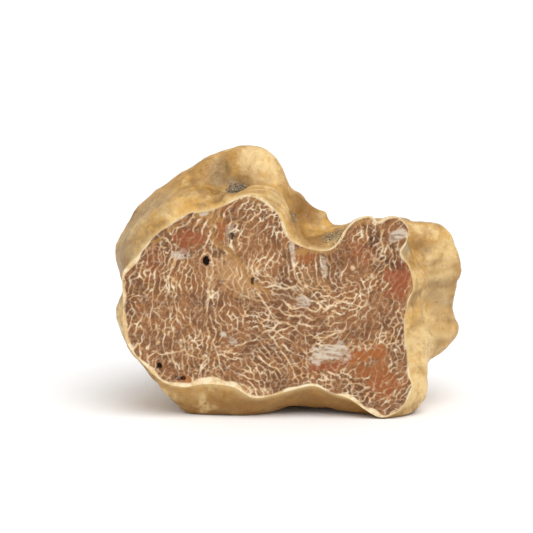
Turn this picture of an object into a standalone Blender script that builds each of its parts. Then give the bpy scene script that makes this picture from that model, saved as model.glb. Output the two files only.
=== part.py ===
"""White truffle, cut in half and resting on its underside, cut face towards -Y.

One closed body. Its outside is a loft: rows of points run from the rim of the cut
face back over the lobed skin to a pole, and the cut face is a flat polygon.
Lengths in this file are millimetres until the mesh is written.
"""
import math

import bpy
import bmesh
import numpy as np

MM = 0.001

# Driving sizes, mm
DEPTH = 41.0            # from the cut face to the furthest point behind it
CUT_Y = -20.5           # where the cut face lies
AXIS_X = -3.0           # the line the skin's rows are measured from runs along Y here
AXIS_Z = 24.0
SHOULDER = 6.0          # depth where the skin has reached the first table below
GIRTH = 12.0            # depth where it has reached the second
GIRTH_END = 18.0        # depth where it starts on the way to the third
BACK = 31.0             # depth where it has reached the third
ROUNDING = 3.4          # power of the curve that closes the back: 2 is round, more is fuller
COLUMNS = 104
ROWS = 36
FURROW_DEPTH = 1.3      # grooves between the lobes of the back
FURROW_WIDTH = 2.6

# Outline of the cut face, (x, z), anticlockwise as seen from the front
RIM = [
    (24.8, 27.2), (23.8, 31.0), (22.2, 33.8), (23.2, 36.0), (23.6, 38.8), (21.8, 41.0), (19.6, 41.3),
    (17.5, 40.3), (16.0, 41.4), (13.2, 40.8), (11.0, 38.6), (8.4, 35.0), (4.6, 34.6), (0.4, 36.4),
    (-1.6, 40.6), (-4.0, 43.6), (-7.0, 45.6), (-10.2, 45.2), (-13.4, 43.4), (-16.6, 42.4), (-20.4, 41.8),
    (-24.6, 39.2), (-27.8, 36.6), (-30.4, 33.4), (-33.2, 30.4), (-33.6, 27.5), (-33.4, 24.0), (-33.5, 19.5),
    (-32.4, 14.8), (-29.4, 11.2), (-25.8, 7.8), (-21.6, 6.6), (-17.0, 7.2), (-11.6, 6.6), (-7.6, 4.4),
    (-3.6, 4.8), (1.4, 6.2), (5.0, 6.8), (8.2, 5.4), (12.0, 4.2), (15.4, 1.8), (18.4, 0.3), (21.3, 1.2),
    (23.6, 3.6), (24.7, 6.4), (24.2, 9.4), (23.7, 14.0), (23.0, 19.0), (23.6, 23.6),
]

# Reach of the skin from the axis at three depths: (angle up from +X in degrees, mm)
SHOULDER_REACH = [
    (0, 30.0), (10, 31.5), (20, 30.0), (28, 29.0), (34, 27.0), (40, 24.5), (46, 21.5), (53, 16.5),
    (62, 14.5), (70, 16.0),
    (80, 19.0), (92, 23.0), (105, 24.0), (118, 26.0), (130, 28.5), (145, 31.5), (160, 33.2), (168, 32.8),
    (176, 31.2), (184, 32.6), (195, 32.3), (210, 30.3), (222, 30.3), (232, 30.3), (243, 28.5), (255, 26.4),
    (266, 24.2), (280, 23.4), (295, 25.4), (307, 30.5), (316, 36.0), (325, 37.5), (335, 35.0), (350, 31.5),
]
GIRTH_REACH = [
    (0, 38.0), (7, 39.7), (14, 39.2), (21, 38.0), (25, 34.4), (30, 30.6), (36, 25.6), (42, 21.0), (50, 19.0),
    (58, 19.8), (66, 20.0), (74, 21.4), (82, 22.8), (87, 26.7), (92, 29.5), (99, 31.3), (108, 31.7),
    (120, 31.6), (135, 32.2), (150, 33.8), (162, 34.8), (170, 33.5), (180, 30.5), (195, 30.5), (210, 29.5),
    (225, 29.8), (240, 27.5), (252, 25.0), (270, 23.6), (285, 23.8), (300, 26.8), (315, 32.0), (325, 33.8),
    (336, 35.4), (343, 38.1), (349, 39.3), (355, 38.0),
]
BACK_REACH = [
    (0, 33.0), (20, 30.0), (34, 21.5), (45, 16.5), (58, 15.5), (70, 17.0), (82, 20.5), (92, 25.0), (104, 28.0),
    (120, 29.0), (140, 29.0), (160, 29.0), (180, 27.0), (200, 27.0), (220, 28.0), (240, 28.0), (255, 25.5),
    (270, 24.6), (285, 25.6), (300, 28.0), (320, 30.0), (340, 30.0),
]

# Swellings (+) and dents (-) of the skin: (x, depth, z), radius, height
KNOBS = [
    ((-11.5, 5.0, 46.0), 3.4, -1.5),
    ((1.6, 4.6, 40.0), 3.0, -1.2),
    ((-5.5, 1.8, 46.5), 4.0, 0.7),
    ((27.5, 5.5, 33.5), 3.2, -0.9),
    ((-21.0, 33.0, 37.0), 9.0, 1.6),
    ((-30.0, 22.0, 19.0), 8.0, 1.2),
    ((17.0, 34.0, 21.0), 9.0, 1.6),
    ((27.0, 24.0, 32.0), 7.0, 1.0),
    ((-7.0, 28.0, 49.0), 8.0, 0.7),
    ((-13.0, 25.0, 1.0), 8.0, 2.6),
    ((14.0, 25.0, 1.5), 8.0, 3.2),
]

# Middles of the lobes of the back; a furrow runs halfway between neighbours
LOBES = [
    (-10.0, 22.0, 54.0), (-25.0, 24.0, 43.0), (-6.0, 34.0, 45.0), (-22.0, 34.0, 33.0), (-34.0, 20.0, 24.0),
    (-7.0, 41.0, 29.0), (9.0, 33.0, 34.0), (21.0, 27.0, 41.0), (34.0, 20.0, 30.0), (24.0, 34.0, 22.0),
    (9.0, 40.0, 16.0), (-12.0, 38.0, 12.0), (-28.0, 30.0, 11.0), (33.0, 20.0, 12.0), (18.0, 31.0, 3.0),
]
FURROWS_START = 11.0    # depth where the furrows begin
FURROWS_FULL = 21.0     # depth where they reach their full depth


def ease(t):
    """0 below 0, 1 above 1, and a smooth step between."""
    t = np.clip(t, 0.0, 1.0)
    return t * t * (3.0 - 2.0 * t)


def closed_table(angle, table):
    """Smooth closed curve through (angle, value) pairs, read at the given angles in degrees.

    Between neighbours it is a cubic whose slope at each one is that of the chord across it.
    """
    at, value = np.array(table, dtype=float).T
    at = np.concatenate([at[-2:] - 360.0, at, at[:3] + 360.0])
    value = np.concatenate([value[-2:], value, value[:3]])
    slope = np.zeros_like(value)
    slope[1:-1] = (value[2:] - value[:-2]) / (at[2:] - at[:-2])
    angle = np.mod(angle, 360.0)
    i = np.clip(np.searchsorted(at, angle, side="right") - 1, 1, len(at) - 3)
    gap = at[i + 1] - at[i]
    t = (angle - at[i]) / gap
    bend = gap * (t * (1.0 - t) ** 2 * slope[i] - t * t * (1.0 - t) * slope[i + 1])
    return value[i] * (1.0 - ease(t)) + value[i + 1] * ease(t) + bend


def rim_curve(count):
    """Points evenly spaced along the closed Catmull-Rom curve through RIM, as an array of (x, z)."""
    knots = np.array(RIM, dtype=float)
    t = np.linspace(0.0, len(knots), len(knots) * 40, endpoint=False)
    i = t.astype(int)
    f = (t - i)[:, None]
    a, b, c, d = (knots[(i + step) % len(knots)] for step in (-1, 0, 1, 2))
    curve = 0.5 * (2 * b + (c - a) * f + (2 * a - 5 * b + 4 * c - d) * f**2 + (3 * b - a - 3 * c + d) * f**3)
    curve = np.concatenate([curve, curve[:1]])
    along = np.concatenate([[0.0], np.cumsum(np.linalg.norm(np.diff(curve, axis=0), axis=1))])
    at = np.linspace(0.0, along[-1], count, endpoint=False)
    return np.stack([np.interp(at, along, curve[:, axis]) for axis in (0, 1)], axis=1)


def smooth_angles(angle, spread):
    """The angles, averaged around the loop with a bell of the given width, so that they only ever rise."""
    count = len(angle)
    turn = np.unwrap(np.radians(angle))
    lean = turn - np.arange(count) * 2.0 * math.pi / count
    offset = np.minimum(np.arange(count), count - np.arange(count))
    bell = np.exp(-0.5 * (offset / spread) ** 2)
    bell /= bell.sum()
    lean = np.real(np.fft.ifft(np.fft.fft(lean) * np.fft.fft(bell)))
    return np.degrees(lean + np.arange(count) * 2.0 * math.pi / count)


def row_depths(count):
    """Depths of the rows, evenly spaced along the curve that closes the back."""
    phi = np.linspace(0.0, math.pi / 2.0, 4000)
    depth = DEPTH * np.sin(phi) ** (2.0 / ROUNDING)
    reach = 30.0 * np.cos(phi) ** (2.0 / ROUNDING)
    along = np.concatenate([[0.0], np.cumsum(np.hypot(np.diff(depth), np.diff(reach)))])
    return np.interp(np.linspace(0.0, along[-1], count), along, depth)


def skin_points(columns, rows):
    """Rows x columns x 3 array of points of the skin as (x, depth, z).

    Each row is at one depth. Its reach from the axis passes smoothly from the rim through the three
    tables, times (1 - (depth / DEPTH)^n)^(1/n), n being ROUNDING, which closes the back to a pole.
    Knobs are bells along the way out from the axis, furrows are bells of the difference between the
    distances to the two nearest lobes, and what would reach below the floor is pressed flat at z = 0.
    """
    rim = rim_curve(columns)
    angle = np.degrees(np.arctan2(rim[:, 1] - AXIS_Z, rim[:, 0] - AXIS_X))
    angle = smooth_angles(angle, columns / 40.0)
    depth = row_depths(rows)[:, None]
    shoulder = closed_table(angle, SHOULDER_REACH)
    girth = closed_table(angle, GIRTH_REACH)
    back = closed_table(angle, BACK_REACH)
    reach = (shoulder
             + (girth - shoulder) * ease((depth - SHOULDER) / (GIRTH - SHOULDER))
             + (back - girth) * ease((depth - GIRTH_END) / (BACK - GIRTH_END)))
    ahead = np.clip(1.0 - depth / SHOULDER, 0.0, 1.0) ** 2
    close = (1.0 - np.clip(depth / DEPTH, 0.0, 1.0) ** ROUNDING) ** (1.0 / ROUNDING)
    out_x = np.cos(np.radians(angle))
    out_z = np.sin(np.radians(angle))
    x = AXIS_X + ((rim[:, 0] - AXIS_X) * ahead + reach * out_x * (1.0 - ahead)) * close
    z = AXIS_Z + ((rim[:, 1] - AXIS_Z) * ahead + reach * out_z * (1.0 - ahead)) * close
    points = np.stack([x, np.broadcast_to(depth, x.shape), z], axis=-1)
    # the way out, leaning backwards as the back closes
    lean = (np.clip(depth / DEPTH, 0.0, 1.0) ** (ROUNDING - 1.0)) * np.ones_like(x)
    out = np.stack([out_x * (1.0 - lean), lean, out_z * (1.0 - lean)], axis=-1)
    out /= np.linalg.norm(out, axis=-1, keepdims=True)
    height = np.zeros_like(x)
    for middle, radius, size in KNOBS:
        gap = np.linalg.norm(points - np.array(middle), axis=-1)
        height += size * np.exp(-(gap / radius) ** 2)
    distance = np.stack([np.linalg.norm(points - np.array(lobe), axis=-1) for lobe in LOBES])
    distance.sort(axis=0)
    furrow = np.exp(-((distance[1] - distance[0]) / FURROW_WIDTH) ** 2)
    height -= FURROW_DEPTH * furrow * ease((points[..., 1] - FURROWS_START) / (FURROWS_FULL - FURROWS_START))
    height *= ease(points[..., 1] / 1.5)
    points = points + out * height[..., None]
    points[-1] = points[-1].mean(axis=0)
    points[..., 2] = np.maximum(points[..., 2], 0.0)
    return points


def add_truffle():
    """Build the half truffle as one closed mesh object."""
    points = skin_points(COLUMNS, ROWS)
    points[..., 1] += CUT_Y
    points *= MM
    mesh = bpy.data.meshes.new("truffle")
    bm = bmesh.new()
    loops = []
    for row in points[:-1]:
        loops.append([bm.verts.new(point) for point in row])
    pole = bm.verts.new(points[-1, 0])
    for here, behind in zip(loops[:-1], loops[1:]):
        for i in range(COLUMNS):
            j = (i + 1) % COLUMNS
            bm.faces.new((here[i], here[j], behind[j], behind[i]))
    for i in range(COLUMNS):
        bm.faces.new((loops[-1][i], loops[-1][(i + 1) % COLUMNS], pole))
    cut = bm.faces.new(loops[0])
    bmesh.ops.recalc_face_normals(bm, faces=bm.faces[:])
    bmesh.ops.triangulate(bm, faces=[cut], ngon_method="BEAUTY")
    bmesh.ops.triangulate(bm, faces=bm.faces[:])
    bm.to_mesh(mesh)
    bm.free()
    truffle = bpy.data.objects.new("truffle", mesh)
    bpy.context.scene.collection.objects.link(truffle)
    skin = bpy.data.materials.new("truffle")
    skin.use_nodes = True
    shader = skin.node_tree.nodes["Principled BSDF"]
    shader.inputs["Base Color"].default_value = (0.47, 0.28, 0.14, 1.0)
    shader.inputs["Roughness"].default_value = 0.6
    mesh.materials.append(skin)
    return truffle


for old in list(bpy.data.objects):
    bpy.data.objects.remove(old, do_unlink=True)
add_truffle()
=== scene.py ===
"""Looks of the cut white truffle: lobed skin, veined cut face, soil left in its folds, and a plain studio.

The file is laid out as a Blender add-on and run as a script. Shapes are worked out with numpy in
millimetres, as (x, depth behind the cut, z), and become metres when they are put into a mesh.
"""
import math

import bpy
import numpy as np
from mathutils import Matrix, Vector


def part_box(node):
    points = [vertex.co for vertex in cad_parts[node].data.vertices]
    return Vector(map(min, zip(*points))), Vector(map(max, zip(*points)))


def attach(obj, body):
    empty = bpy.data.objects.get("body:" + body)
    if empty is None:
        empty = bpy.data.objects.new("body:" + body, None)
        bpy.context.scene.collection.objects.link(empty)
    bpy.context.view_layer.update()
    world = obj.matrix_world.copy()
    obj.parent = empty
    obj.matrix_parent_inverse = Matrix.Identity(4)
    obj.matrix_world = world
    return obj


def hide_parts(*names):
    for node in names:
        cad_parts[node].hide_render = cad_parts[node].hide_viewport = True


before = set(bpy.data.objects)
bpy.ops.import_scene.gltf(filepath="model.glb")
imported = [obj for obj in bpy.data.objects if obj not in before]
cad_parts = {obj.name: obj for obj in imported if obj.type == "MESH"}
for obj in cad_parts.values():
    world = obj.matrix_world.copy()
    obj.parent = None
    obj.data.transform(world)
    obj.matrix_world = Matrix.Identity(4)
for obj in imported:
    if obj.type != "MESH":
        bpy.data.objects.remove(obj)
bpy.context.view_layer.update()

bl_info = {
    "name": "Cut white truffle",
    "version": (1, 0, 0),
    "blender": (4, 5, 0),
    "location": "3D View > Sidebar > Truffle",
    "description": "Builds the skin, the veined cut face, the soil and the studio of a cut white truffle",
    "category": "Add Mesh",
}

MM = 0.001

# ---------------------------------------------------------------- the truffle's own shape, mm
CUT_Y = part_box("truffle")[0][1] / MM    # the cut face is the foremost plane of the solid
DEPTH = 41.0            # from the cut face to the furthest point behind it
AXIS_X = -3.0           # the line the skin's rows are measured from runs along Y here
AXIS_Z = 24.0
SHOULDER = 6.0          # depth where the skin has reached the first table below
GIRTH = 12.0            # depth where it has reached the second
GIRTH_END = 18.0        # depth where it starts on the way to the third
BACK = 31.0             # depth where it has reached the third
ROUNDING = 3.4          # power of the curve that closes the back: 2 is round, more is fuller
FURROW_DEPTH = 1.3      # grooves between the lobes of the back
FURROW_WIDTH = 2.6
HUB = (0.0, 14.0)       # (x, z) on the cut face from which the whole rim can be seen

# Outline of the cut face, (x, z), anticlockwise as seen from the front
RIM = [
    (24.8, 27.2), (23.8, 31.0), (22.2, 33.8), (23.2, 36.0), (23.6, 38.8), (21.8, 41.0), (19.6, 41.3),
    (17.5, 40.3), (16.0, 41.4), (13.2, 40.8), (11.0, 38.6), (8.4, 35.0), (4.6, 34.6), (0.4, 36.4),
    (-1.6, 40.6), (-4.0, 43.6), (-7.0, 45.6), (-10.2, 45.2), (-13.4, 43.4), (-16.6, 42.4), (-20.4, 41.8),
    (-24.6, 39.2), (-27.8, 36.6), (-30.4, 33.4), (-33.2, 30.4), (-33.6, 27.5), (-33.4, 24.0), (-33.5, 19.5),
    (-32.4, 14.8), (-29.4, 11.2), (-25.8, 7.8), (-21.6, 6.6), (-17.0, 7.2), (-11.6, 6.6), (-7.6, 4.4),
    (-3.6, 4.8), (1.4, 6.2), (5.0, 6.8), (8.2, 5.4), (12.0, 4.2), (15.4, 1.8), (18.4, 0.3), (21.3, 1.2),
    (23.6, 3.6), (24.7, 6.4), (24.2, 9.4), (23.7, 14.0), (23.0, 19.0), (23.6, 23.6),
]

# Reach of the skin from the axis at three depths: (angle up from +X in degrees, mm)
SHOULDER_REACH = [
    (0, 30.0), (10, 31.5), (20, 30.0), (28, 29.0), (34, 27.0), (40, 24.5), (46, 21.5), (53, 16.5),
    (62, 14.5), (70, 16.0), (80, 19.0),
    (92, 23.0), (105, 24.0), (118, 26.0), (130, 28.5), (145, 31.5), (160, 33.2), (168, 32.8),
    (176, 31.2), (184, 32.6), (195, 32.3), (210, 30.3), (222, 30.3), (232, 30.3), (243, 28.5), (255, 26.4),
    (266, 24.2), (280, 23.4), (295, 25.4), (307, 30.5), (316, 36.0), (325, 37.5), (335, 35.0), (350, 31.5),
]
GIRTH_REACH = [
    (0, 38.0), (7, 39.7), (14, 39.2), (21, 38.0), (25, 34.4), (30, 30.6), (36, 25.6), (42, 21.0), (50, 19.0),
    (58, 19.8), (66, 20.0), (74, 21.4), (82, 22.8), (87, 26.7), (92, 29.5), (99, 31.3), (108, 31.7),
    (120, 31.6), (135, 32.2), (150, 33.8), (162, 34.8), (170, 33.5), (180, 30.5), (195, 30.5), (210, 29.5),
    (225, 29.8), (240, 27.5), (252, 25.0), (270, 23.6), (285, 23.8), (300, 26.8), (315, 32.0), (325, 33.8),
    (336, 35.4), (343, 38.1), (349, 39.3), (355, 38.0),
]
BACK_REACH = [
    (0, 33.0), (20, 30.0), (34, 21.5), (45, 16.5), (58, 15.5), (70, 17.0), (82, 20.5), (92, 25.0),
    (104, 28.0), (120, 29.0), (140, 29.0), (160, 29.0), (180, 27.0),
    (200, 27.0), (220, 28.0), (240, 28.0), (255, 25.5),
    (270, 24.6), (285, 25.6), (300, 28.0), (320, 30.0), (340, 30.0),
]

# Swellings (+) and dents (-) of the skin: (x, depth, z), radius, height
KNOBS = [
    ((-11.5, 5.0, 46.0), 3.4, -1.5),
    ((1.6, 4.6, 40.0), 3.0, -1.2),
    ((-5.5, 1.8, 46.5), 4.0, 0.7),
    ((27.5, 5.5, 33.5), 3.2, -0.9),
    ((-21.0, 33.0, 37.0), 9.0, 1.6),
    ((-30.0, 22.0, 19.0), 8.0, 1.2),
    ((17.0, 34.0, 21.0), 9.0, 1.6),
    ((27.0, 24.0, 32.0), 7.0, 1.0),
    ((-7.0, 28.0, 49.0), 8.0, 0.7),
    ((-13.0, 25.0, 1.0), 8.0, 2.6),
    ((14.0, 25.0, 1.5), 8.0, 3.2),
]

# Middles of the lobes of the back; a furrow runs halfway between neighbours
LOBES = [
    (-10.0, 22.0, 54.0), (-25.0, 24.0, 43.0), (-6.0, 34.0, 45.0), (-22.0, 34.0, 33.0), (-34.0, 20.0, 24.0),
    (-7.0, 41.0, 29.0), (9.0, 33.0, 34.0), (21.0, 27.0, 41.0), (34.0, 20.0, 30.0), (24.0, 34.0, 22.0),
    (9.0, 40.0, 16.0), (-12.0, 38.0, 12.0), (-28.0, 30.0, 11.0), (33.0, 20.0, 12.0), (18.0, 31.0, 3.0),
]
FURROWS_START = 11.0    # depth where the furrows begin
FURROWS_FULL = 21.0     # depth where they reach their full depth

# ---------------------------------------------------------------- finer features of the skin
COLUMNS = 620
ROWS = 150
ROW_BIAS = 1.2          # above 1, the rows stand closer together near the cut
RECESS = 2.6            # how far behind the cut the skin's own shell turns in to its hub
RECESS_SHARE = 0.985    # size of the shell's turned-in edge beside the rim
RIM_EASE = 1.2          # relief fades in over this depth behind the cut
FLOOR_EASE = 1.2        # and over this height above the floor

# Lumps all over the skin: size, height, seed of their noise
LUMPS = [(7.0, 0.45, 21), (2.6, 0.24, 22), (1.1, 0.09, 23)]

# (x, depth, z), radius, height: small dents, pits and welts that the solid is too coarse for
SKIN_MARKS = [
    ((-11.0, 5.6, 46.4), 2.0, -1.0), ((0.7, 4.8, 40.8), 0.9, -0.9), ((28.3, 7.6, 33.6), 0.6, -0.7),
    ((-17.1, 0.7, 43.3), 0.5, -0.6), ((-27.8, 0.9, 8.4), 0.7, -0.6), ((-23.0, 0.8, 5.4), 0.6, -0.5),
    ((-15.0, 8.0, 48.5), 2.4, -0.7), ((-18.5, 9.0, 49.0), 2.6, 0.4), ((-27.0, 5.5, 43.4), 1.6, -0.25),
    ((24.0, 2.0, 22.6), 1.0, -0.3), ((31.0, 9.0, 28.5), 2.5, -0.5), ((33.0, 12.0, 21.0), 3.0, -0.5),
    ((28.0, 4.5, 17.0), 2.4, 0.5), ((30.0, 8.0, 37.0), 2.4, 0.4), ((27.0, 3.0, 27.0), 2.2, 0.35),
]

CREASE_WANDER = 0.6     # how far a crease wanders from its line
CREASE_TURNS = 2.4      # and over what length
# Creases (-) and ridges (+) that run over the skin: half width, height, (x, depth, z) points
CREASES = [
    (0.9, -0.55, [(24.5, 1.5, 31.4), (28.5, 7.0, 30.6), (32.5, 11.0, 31.0), (37.0, 15.0, 30.2)]),
    (0.8, -0.45, [(25.0, 2.0, 25.4), (29.0, 6.0, 24.8), (33.0, 10.0, 25.6), (37.0, 15.0, 26.2)]),
    (0.45, -0.40, [(25.4, 1.2, 25.0), (25.4, 1.4, 21.5), (25.0, 1.6, 17.5)]),
    (0.9, -0.60, [(26.5, 2.5, 19.2), (31.0, 8.0, 19.4), (35.0, 12.0, 18.2)]),
    (0.9, -0.70, [(26.0, 2.5, 12.6), (30.0, 7.0, 11.8), (33.5, 11.0, 11.0)]),
    (1.0, 0.45, [(25.5, 2.5, 28.0), (29.5, 7.5, 27.6), (33.5, 11.0, 28.4)]),
    (0.9, 0.45, [(27.0, 4.0, 16.0), (30.0, 7.5, 15.6), (33.0, 10.5, 15.0)]),
    (1.5, -0.95, [(-14.8, 1.6, 44.4), (-14.6, 6.0, 47.8), (-13.6, 9.0, 50.6), (-12.8, 14.0, 53.4)]),
    (1.2, 0.50, [(-9.0, 3.4, 47.2), (-7.4, 6.5, 49.2), (-7.0, 10.0, 51.6)]),
    (1.6, -0.40, [(-20.0, 2.0, 42.6), (-23.0, 7.0, 45.6), (-25.0, 13.0, 47.0)]),
    (1.8, -0.80, [(-33.4, 0.8, 31.4), (-34.2, 5.0, 30.6), (-35.0, 11.0, 29.6)]),
    (1.3, -0.55, [(-8.0, 0.8, 4.4), (-9.0, 4.0, 2.6), (-10.0, 10.0, 1.0)]),
    (0.8, -0.40, [(2.0, 2.0, 39.0), (3.0, 7.0, 40.6), (3.4, 12.0, 42.4)]),
    (0.9, 0.40, [(5.0, 3.0, 37.4), (6.4, 8.0, 39.4), (7.4, 13.0, 41.0)]),
    (0.8, -0.35, [(-29.0, 1.4, 10.2), (-30.0, 5.0, 8.6), (-30.4, 10.0, 7.4)]),
]

SKIN_KINDS = ("soil", "grey", "ochre", "pale", "brown_and_fold_shade")
# Soft-edged areas of the skin: (x, depth, z), radius, kind, strength
SKIN_PATCHES = [
    ((-10.8, 6.0, 46.2), 2.0, "soil", 1.0), ((-7.9, 5.0, 46.9), 0.9, "soil", 0.8),
    ((0.7, 4.8, 40.8), 1.1, "soil", 1.0), ((9.0, 1.6, 37.0), 1.8, "soil", 0.8),
    ((-17.1, 0.7, 43.4), 0.5, "soil", 0.9), ((28.3, 8.0, 33.6), 0.6, "soil", 0.9),
    ((-26.9, 0.6, 8.2), 0.5, "soil", 0.9), ((-22.6, 2.1, 4.3), 0.4, "soil", 1.0),
    ((-22.6, 2.6, 3.6), 0.3, "soil", 1.0), ((-24.2, 2.2, 4.6), 0.3, "soil", 0.9),
    # grey: painted shade on the left side, in the dent behind the right rim and in creases, over partly
    # greyish skin.
    ((-26.8, 5.5, 43.4), 2.2, "grey", 0.45), ((-14.0, 8.5, 49.0), 2.4, "grey", 0.8),
    ((-33.0, 5.0, 33.0), 7.0, "grey", 0.7), ((-28.0, 7.0, 41.0), 6.0, "grey", 0.5),
    ((24.3, 1.2, 35.4), 2.6, "grey", 1.1), ((31.0, 9.0, 24.5), 4.0, "grey", 0.55),
    ((-18.0, 9.0, 48.0), 4.5, "ochre", 0.45), ((-8.5, 7.5, 49.0), 3.4, "ochre", 0.6),
    ((3.0, 8.0, 42.0), 5.0, "ochre", 0.9), ((5.0, 3.5, 38.0), 4.0, "ochre", 1.0),
    ((28.5, 6.5, 36.5), 3.0, "ochre", 0.6), ((-16.0, 2.5, 4.0), 3.0, "ochre", 0.8),
    ((29.0, 7.0, 16.0), 4.0, "ochre", 0.5), ((-28.0, 4.0, 26.0), 4.0, "ochre", 0.4),
    ((-26.8, 5.0, 42.8), 1.3, "ochre", 0.8), ((26.5, 5.0, 36.0), 3.0, "ochre", 0.5),
    ((24.4, 1.6, 24.4), 2.2, "ochre", 0.8), ((-14.0, 5.0, 2.6), 5.0, "ochre", 1.0),
    ((-8.0, 3.0, 2.4), 7.0, "ochre", 0.7), ((4.0, 6.0, 2.0), 9.0, "ochre", 0.9),
    ((-6.0, 10.0, 52.5), 4.5, "pale", 0.9), ((-1.0, 3.0, 44.0), 3.4, "pale", 0.6),
    ((31.5, 10.0, 32.0), 4.0, "pale", 0.7), ((27.5, 3.5, 13.5), 6.0, "pale", 1.0),
    ((30.0, 9.0, 18.0), 5.0, "pale", 0.4), ((-23.0, 3.0, 42.0), 3.0, "pale", 0.5),
    ((26.0, 2.5, 5.0), 5.0, "pale", 1.0), ((-17.0, 5.0, 3.6), 3.2, "pale", 1.0),
    ((-24.0, 4.0, 5.0), 2.6, "pale", 0.8), ((33.0, 11.0, 35.0), 2.5, "pale", 0.9),
    ((-3.0, 12.0, 52.0), 4.0, "pale", 0.7), ((29.0, 6.0, 21.0), 1.6, "pale", 0.9),
    # brown: painted shade in dents and creases and under the front of the bottom, over partly brown blotches
    # of the skin.
    ((34.5, 12.0, 28.5), 2.6, "brown_and_fold_shade", 0.5), ((29.0, 7.0, 26.5), 2.2, "brown_and_fold_shade", 0.4),
    ((-12.0, 7.0, 50.5), 1.8, "brown_and_fold_shade", 0.5), ((-20.0, 8.0, 45.5), 2.4, "brown_and_fold_shade", 0.45),
    ((-31.0, 4.0, 36.0), 2.2, "brown_and_fold_shade", 0.5), ((-12.0, 4.0, 1.8), 2.6, "brown_and_fold_shade", 0.9),
    ((-6.0, 2.0, 3.2), 2.0, "brown_and_fold_shade", 0.7), ((3.0, 1.2, 4.8), 2.2, "brown_and_fold_shade", 0.6),
    ((12.0, 1.6, 2.4), 2.0, "brown_and_fold_shade", 0.7), ((4.5, 5.0, 38.5), 1.8, "brown_and_fold_shade", 0.6),
    ((25.6, 1.2, 33.0), 1.6, "brown_and_fold_shade", 0.6), ((26.0, 6.0, 38.5), 1.6, "brown_and_fold_shade", 0.4),
    ((31.0, 9.0, 14.5), 1.8, "brown_and_fold_shade", 0.5), ((-9.0, 7.0, 47.6), 1.4, "brown_and_fold_shade", 0.6),
]

# Pale growth lines on the crest behind the cut face
GROWTH_MIDDLE = (-6.0, 38.0)    # (x, z) of the point they circle
GROWTH_PITCH = 1.25             # from line to line
GROWTH_HEIGHT = 0.10            # half the rise from hollow to line
GROWTH_FLOOR = 38.0             # they begin above this height
GROWTH_RISE = 4.0               # and are full this much higher
GROWTH_DEEPEST = 7.0            # depth where they have faded out
GROWTH_SIDES = (-10.0, 6.0)     # x where they have faded out
GROWTH_FADE = 3.0               # width of those fades

# ---------------------------------------------------------------- the cut face
CELL = 0.145            # pitch of the face's own grid
PATTERN_CELL = 0.12     # pitch of the grid that the veins are worked out on
PATTERN_X = (-36.0, 27.6)
PATTERN_Z = (-1.2, 48.0)

# Which way the veins run: (x, z, direction in degrees, how strictly from 0 to 1)
FLOW = [
    (-31.0, 28.5, 60, 0.3), (-28.0, 24.5, 80, 0.3), (-25.0, 26.5, 90, 0.9), (-21.5, 26.5, 88, 1.0),
    (-23.0, 20.5, 92, 0.9), (-30.5, 18.5, 70, 0.2), (-28.0, 14.5, 85, 0.4), (-25.0, 14.5, 80, 0.5),
    (-20.5, 15.5, 95, 0.8), (-18.0, 19.5, 85, 0.9), (-18.5, 24.5, 85, 0.9), (-15.0, 24.5, 88, 0.9),
    (-16.0, 28.5, 88, 0.8), (-13.0, 20.5, 95, 0.7), (-11.5, 27.5, 105, 0.7), (-10.0, 15.5, 18, 0.8),
    (-5.5, 17.0, 8, 0.7), (-10.5, 10.0, -48, 0.9), (-5.5, 13.0, -28, 0.9), (-7.0, 8.0, -45, 0.8),
    (-1.5, 14.0, -40, 0.8), (-4.0, 9.5, -75, 0.5), (0.0, 7.5, 85, 0.3), (3.0, 13.5, -85, 0.4),
    (-5.0, 23.5, -50, 0.8), (0.5, 19.5, -14, 0.9), (0.0, 24.5, -10, 0.9), (5.5, 25.0, -28, 0.8),
    (10.5, 23.0, 5, 0.9), (8.0, 21.0, 0, 0.9), (8.5, 17.0, 18, 0.8), (-5.0, 33.5, 80, 0.5),
    (-8.0, 39.0, 60, 0.3), (-1.0, 34.5, 92, 0.9), (3.5, 33.0, 90, 0.6), (9.5, 31.5, 100, 0.7),
    (14.0, 32.5, 60, 0.1), (18.0, 34.5, 75, 0.6), (15.5, 25.0, 70, 0.3), (21.0, 23.5, 75, 0.4),
    (20.5, 18.5, 80, 0.4), (18.0, 20.0, 80, 0.2), (22.0, 14.0, 80, 0.5), (21.5, 7.5, 60, 0.6),
    (12.0, 4.0, 0, 0.1), (18.0, 4.0, 20, 0.2), (-25.5, 32.5, 85, 0.8), (-22.5, 32.0, 88, 0.8),
    (-19.0, 39.0, 70, 0.7), (-21.0, 36.5, 30, 0.3), (-12.0, 35.5, 90, 0.3), (-10.0, 32.0, 120, 0.5),
    (-15.0, 31.5, 85, 0.4), (6.0, 4.0, -20, 0.3), (-13.0, 8.5, -40, 0.7), (-18.0, 9.5, 85, 0.4),
    (-22.0, 10.0, 60, 0.3), (-26.0, 17.5, 85, 0.4), (5.0, 29.5, 100, 0.5), (2.0, 30.5, 85, 0.5),
]
FLOW_SPREAD = 2.8
VEIN_PITCHES = (1.12, 1.75)     # from vein to vein, in the fine pattern and in the wide one
FAN = 6                 # directions that the pattern's oriented filters point in
ROUNDS = 5              # times that the pattern is filtered
FINE_WIDTH = 0.115      # half width of a fine vein
LINK_PITCH = 1.15       # size of the cells whose walls link the fine veins
LINK_WIDTH = 0.15
THREAD_PITCH = 0.75     # size of the cells whose walls are faint threads
THREAD_WIDTH = 0.12
WOBBLE = 0.22           # how far the stoutest veins and the seam wander

# Where the meshes of the veins are wider: (x, z), radius, how much of the wider pattern
WIDE_MESHES = [
    ((-27.0, 17.0), 7.0, 0.75), ((-20.0, 38.0), 5.0, 0.9), ((2.0, 22.0), 7.0, 0.6), ((10.0, 19.0), 5.0, 0.6),
    ((-8.0, 39.0), 5.0, 0.8), ((20.0, 38.0), 3.5, 0.7), ((16.0, 8.0), 4.0, 0.5), ((4.0, 31.0), 3.0, 0.4),
]

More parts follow.
